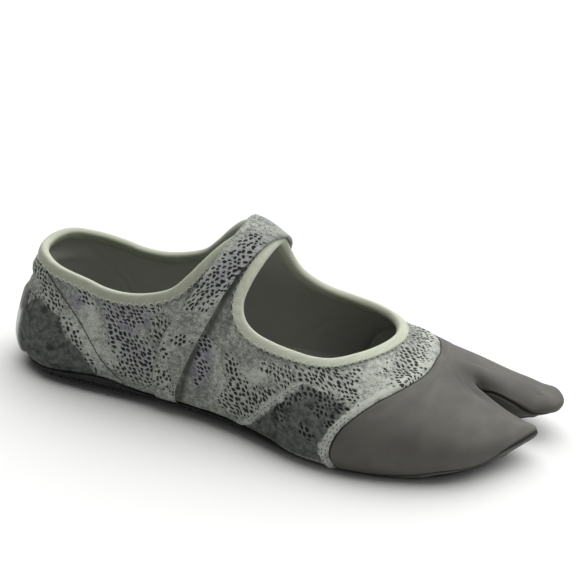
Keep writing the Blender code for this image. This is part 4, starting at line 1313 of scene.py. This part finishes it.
def footbed_cloth():
    material, root, shader = new_finish("footbed_cloth", 0.92, 0.12)
    place = root.add("TexCoord", {}, 3)
    grain = root.add("TexNoise", {"Vector": place, "Scale": 1700.0})
    knit = root.add("TexVoronoi", {"Vector": place, "Scale": 900.0})
    cloud = root.add("TexNoise", {"Vector": place, "Scale": 60.0})
    base = (grain * 0.5 + cloud * 0.5).between(0.3, 0.7).mix(colour(118, 118, 112), colour(98, 98, 93))
    wire(base, shader, "Base Color")
    bumped(root, shader, knit * 0.5 + grain * 0.5, 0.12)
    return material


# %% Rings of the outsole
SOLE_TOP = -FIT_GAP
SOLE_THICK = 1.6
SOLE_BOTTOM = SOLE_TOP - SOLE_THICK
# How far up the sections the sole cups the cloth, as (x, share)
SOLE_CUP = ((-3, 0.02), (8, 0.03), (26, 0.1), (40, 0.135), (50, 0.135), (60, 0.1), (68, 0.055),
            (100, 0.045), (120, 0.025), (250, 0.02))


def bed_point(section, share, height, flare=0.0):
    """Place of the cupped bed at a share of the way from the ridge line (0) to the feather line (1)."""
    level = section.bed + (section.feather - section.bed) * share ** 2
    outwards = flare * section.rounding / UNDER_ROUND
    return section.place(section.feather_distance() * share + outwards, level + height)


def cup_point(section, part, off):
    """Place off the cloth's face at a part of the height that the sole cups it."""
    share = table_at(SOLE_CUP, section.place(section.feather_distance(), 0.0)[0])[1] * part
    turn = (1.0 - share / LOW_PART) * UNDER_TURN
    normal = np.array((np.cos(turn) * (section.waist - section.feather), -np.sin(turn) * section.rounding))
    normal *= off / np.linalg.norm(normal)
    flat = section.direction * normal[0]
    return section.point(share) + np.array((flat[0], flat[1], normal[1]))


SOLE_SHARES = np.linspace(0.0, 1.0, 9)
# Part of the cupped height, distance off the cloth
SOLE_RIM = ((0.15, 1.9), (0.35, 1.8), (0.55, 1.68), (0.75, 1.56), (0.9, 1.44), (1, 1.22), (1.05, 0.92),
            (1.05, 0.62), (1, 0.35), (0.5, 0.35))
floor_ring = ring_sections(24, 80, 12, 16, 10)
sole_rows = [[bed_point(section, share, SOLE_BOTTOM) for section in floor_ring] for share in SOLE_SHARES]
sole_rows += [[cup_point(section, part, off) for section in floor_ring] for part, off in SOLE_RIM]
sole_rows += [[bed_point(section, share, SOLE_TOP) for section in floor_ring] for share in SOLE_SHARES[::-1]]
sole_mesh = laid_sheet(np.array(sole_rows))
sole_tree = BVHTree.FromBMesh(sole_mesh)


def sole_bottom(x, y):
    """Height of the sole's underside above the floor, or None outside its outline."""
    hit = sole_tree.ray_cast(world((x, y, -20.0)), Vector((0.0, 0.0, 1.0)), 0.03)[0]
    return None if hit is None else hit[2] / MM


# %% Nubs of the outsole
NUB_SPACING, NUB_RADIUS, NUB_FLARE, NUB_EDGE, NUB_HEIGHT = 18.5, 3.4, 0.4, 5.0, 0.75
NUB_ROOT, NUB_CLEAR, FLAT_SOLE = 1.0, 2.2, 1.2
NUB_START = 3.0      # x of the first nub
SMALL_SPACING, SMALL_RADIUS, SMALL_HEIGHT, SMALL_EDGE = NUB_SPACING / 4, 1.25, 0.55, 0.6
ROW_STEP = NUB_SPACING * np.sqrt(3.0) / 2.0


def staggered(spacing, row_step, lines, places):
    """Plan places of staggered rows."""
    return [(NUB_START + spacing * (place + 0.5 * (line % 2)), line * row_step)
            for line in range(-lines, lines + 1) for place in range(places)]


def fits(x, y, margin):
    """Whether a nub with this margin lies inside the sole."""
    around = [sole_bottom(x + margin * np.cos(a), y + margin * np.sin(a)) for a in np.arange(6) * np.pi / 3]
    return None not in around and sole_bottom(x, y) is not None


def nub(x, y, foot_radius, root_radius, foot, segments):
    """One nub from its foot to a place inside the rubber."""
    level = sole_bottom(x, y)
    root = level + NUB_ROOT
    made = bmesh.ops.create_cone(sole_mesh, cap_ends=True, segments=segments, radius1=foot_radius * MM,
                                 radius2=root_radius * MM, depth=(root - foot) * MM)
    bmesh.ops.translate(sole_mesh, verts=made["verts"], vec=world((x, y, 0.5 * (root + foot))))


large = [(x, y) for x, y in staggered(NUB_SPACING, ROW_STEP, 4, 20) if fits(x, y, NUB_EDGE)]
for x, y in large:
    level = sole_bottom(x, y)
    nub(x, y, NUB_RADIUS, NUB_RADIUS + NUB_FLARE, 0.0 if level < FLAT_SOLE else level - NUB_HEIGHT, 20)
small_count = 0
for x, y in staggered(SMALL_SPACING, ROW_STEP / 4, 16, 80):
    clear = all((x - a) ** 2 + (y - b) ** 2 > (NUB_RADIUS + NUB_CLEAR) ** 2 for a, b in large)
    if clear and fits(x, y, SMALL_RADIUS + SMALL_EDGE):
        nub(x, y, SMALL_RADIUS * 0.8, SMALL_RADIUS, sole_bottom(x, y) - SMALL_HEIGHT, 8)
        small_count += 1
print("large nubs:", len(large), "small nubs:", small_count)
add_piece("rubber_outsole", sole_mesh, [sole_rubber()], "outsole")

# %% Insole
INSOLE_THICK, INSOLE_EASE, CLEFT_EASE = 2.0, 1.7, 2.4


def insole_shares(sections):
    """Edge of the insole on each section line, eased square to the outline."""
    edge = np.array([section.place(section.feather_distance(), 0.0)[:2] for section in sections])
    along = unit(np.roll(edge, -1, axis=0) - np.roll(edge, 1, axis=0))
    shares = []
    for section, tangent in zip(sections, along):
        square = abs(section.direction[0] * tangent[1] - section.direction[1] * tangent[0])
        ease = INSOLE_EASE if section.rounding == UNDER_ROUND else CLEFT_EASE
        shares.append(max(1.0 - ease / max(square, 0.14) / section.feather_distance(), 0.3))
    return shares


edge_shares = insole_shares(floor_ring[:-1])
edge_shares.append(edge_shares[0])
# Share of the way to the edge, height, and how far the soft edge flares out to the lining
INSOLE_ROWS = ([(share, 0.0, 0.0) for share in np.linspace(0.0, 1.0, 6)]
               + [(1.0, 0.6, 0.5), (1.0, 1.2, 1.2), (1.0, 1.7, 1.9), (1.0, 2.05, 2.1), (1.0, 2.2, 1.5)]
               + [(1.0, 2.1, 0.5)]
               + [(share, INSOLE_THICK, 0.0) for share in np.linspace(0.95, 0.0, 12)])
insole_rows = [[bed_point(section, place * share, height, flare)
                for section, share in zip(floor_ring, edge_shares)] for place, height, flare in INSOLE_ROWS]
insole_mesh = laid_sheet(np.array(insole_rows))
add_piece("footbed", insole_mesh, [footbed_cloth()], "insole")

# %% [markdown]
# ## Studio
# The shoe stands on a plain pale floor in soft light: a wide even sky light from above and a little
# behind, which leaves the near side darker, a weak surround and a weak fill from the toe side. The camera
# looks down at the lateral side, a little from the toe, and is rolled slightly.

# %% Floor and light
FLOOR_SIZE = 6.0
floor_mesh = bmesh.new()
bmesh.ops.create_grid(floor_mesh, x_segments=4, y_segments=4, size=FLOOR_SIZE / 2)
floor_data = bpy.data.meshes.new("floor")
floor_mesh.to_mesh(floor_data)
floor_mesh.free()
floor = bpy.data.objects.new("floor", floor_data)
bpy.context.scene.collection.objects.link(floor)
floor_finish, _, floor_shader = new_finish("floor", 0.9)
floor_shader.inputs["Base Color"].default_value = colour(229, 229, 228)
floor_data.materials.append(floor_finish)

SURROUND_STRENGTH = 0.13
surround = bpy.data.worlds.new("studio")
surround.use_nodes = True
background = surround.node_tree.nodes["Background"]
background.inputs["Color"].default_value = (1.0, 1.0, 1.0, 1.0)
background.inputs["Strength"].default_value = SURROUND_STRENGTH
bpy.context.scene.world = surround
bpy.context.scene.view_settings.view_transform = "Standard"
SKY_PLACE, SKY_STRENGTH, SKY_SPREAD = (0.10, 0.72, 1.3), 4.4, 95.0
FILL_PLACE, FILL_POWER, FILL_SIZE = (0.9, -0.2, 0.7), 0.8, 0.6
AIM = Vector((0.0, 0.0, 0.03))


def aimed(lamp, location):
    """Put a light at a place and aim it at the shoe."""
    thing = bpy.data.objects.new(lamp.name, lamp)
    thing.location = location
    thing.rotation_euler = (AIM - Vector(location)).to_track_quat("-Z", "Y").to_euler()
    bpy.context.scene.collection.objects.link(thing)


sky = bpy.data.lights.new("sky", "SUN")
sky.energy = SKY_STRENGTH
sky.angle = np.radians(SKY_SPREAD)
aimed(sky, SKY_PLACE)
fill = bpy.data.lights.new("toe_fill", "AREA")
fill.shape = "DISK"
fill.size = FILL_SIZE
fill.energy = FILL_POWER
aimed(fill, FILL_PLACE)

# %% Camera
SENSOR_WIDTH, LENS = 36.0, 83.79
CAMERA_PLACE = (0.10151, -0.52603, 0.29551)
CAMERA_RIGHT = (0.96381, 0.23999, 0.11608)
CAMERA_UP = (-0.20171, 0.37179, 0.90614)
CAMERA_BACK = (0.17431, -0.89676, 0.40674)
camera_data = bpy.data.cameras.new("camera")
camera_data.sensor_width = SENSOR_WIDTH
camera_data.lens = LENS
camera_data.clip_start = 0.01
camera = bpy.data.objects.new("camera", camera_data)
turn = Matrix((CAMERA_RIGHT, CAMERA_UP, CAMERA_BACK)).transposed().to_4x4()
camera.matrix_world = Matrix.Translation(CAMERA_PLACE) @ turn
bpy.context.scene.collection.objects.link(camera)
bpy.context.scene.camera = camera
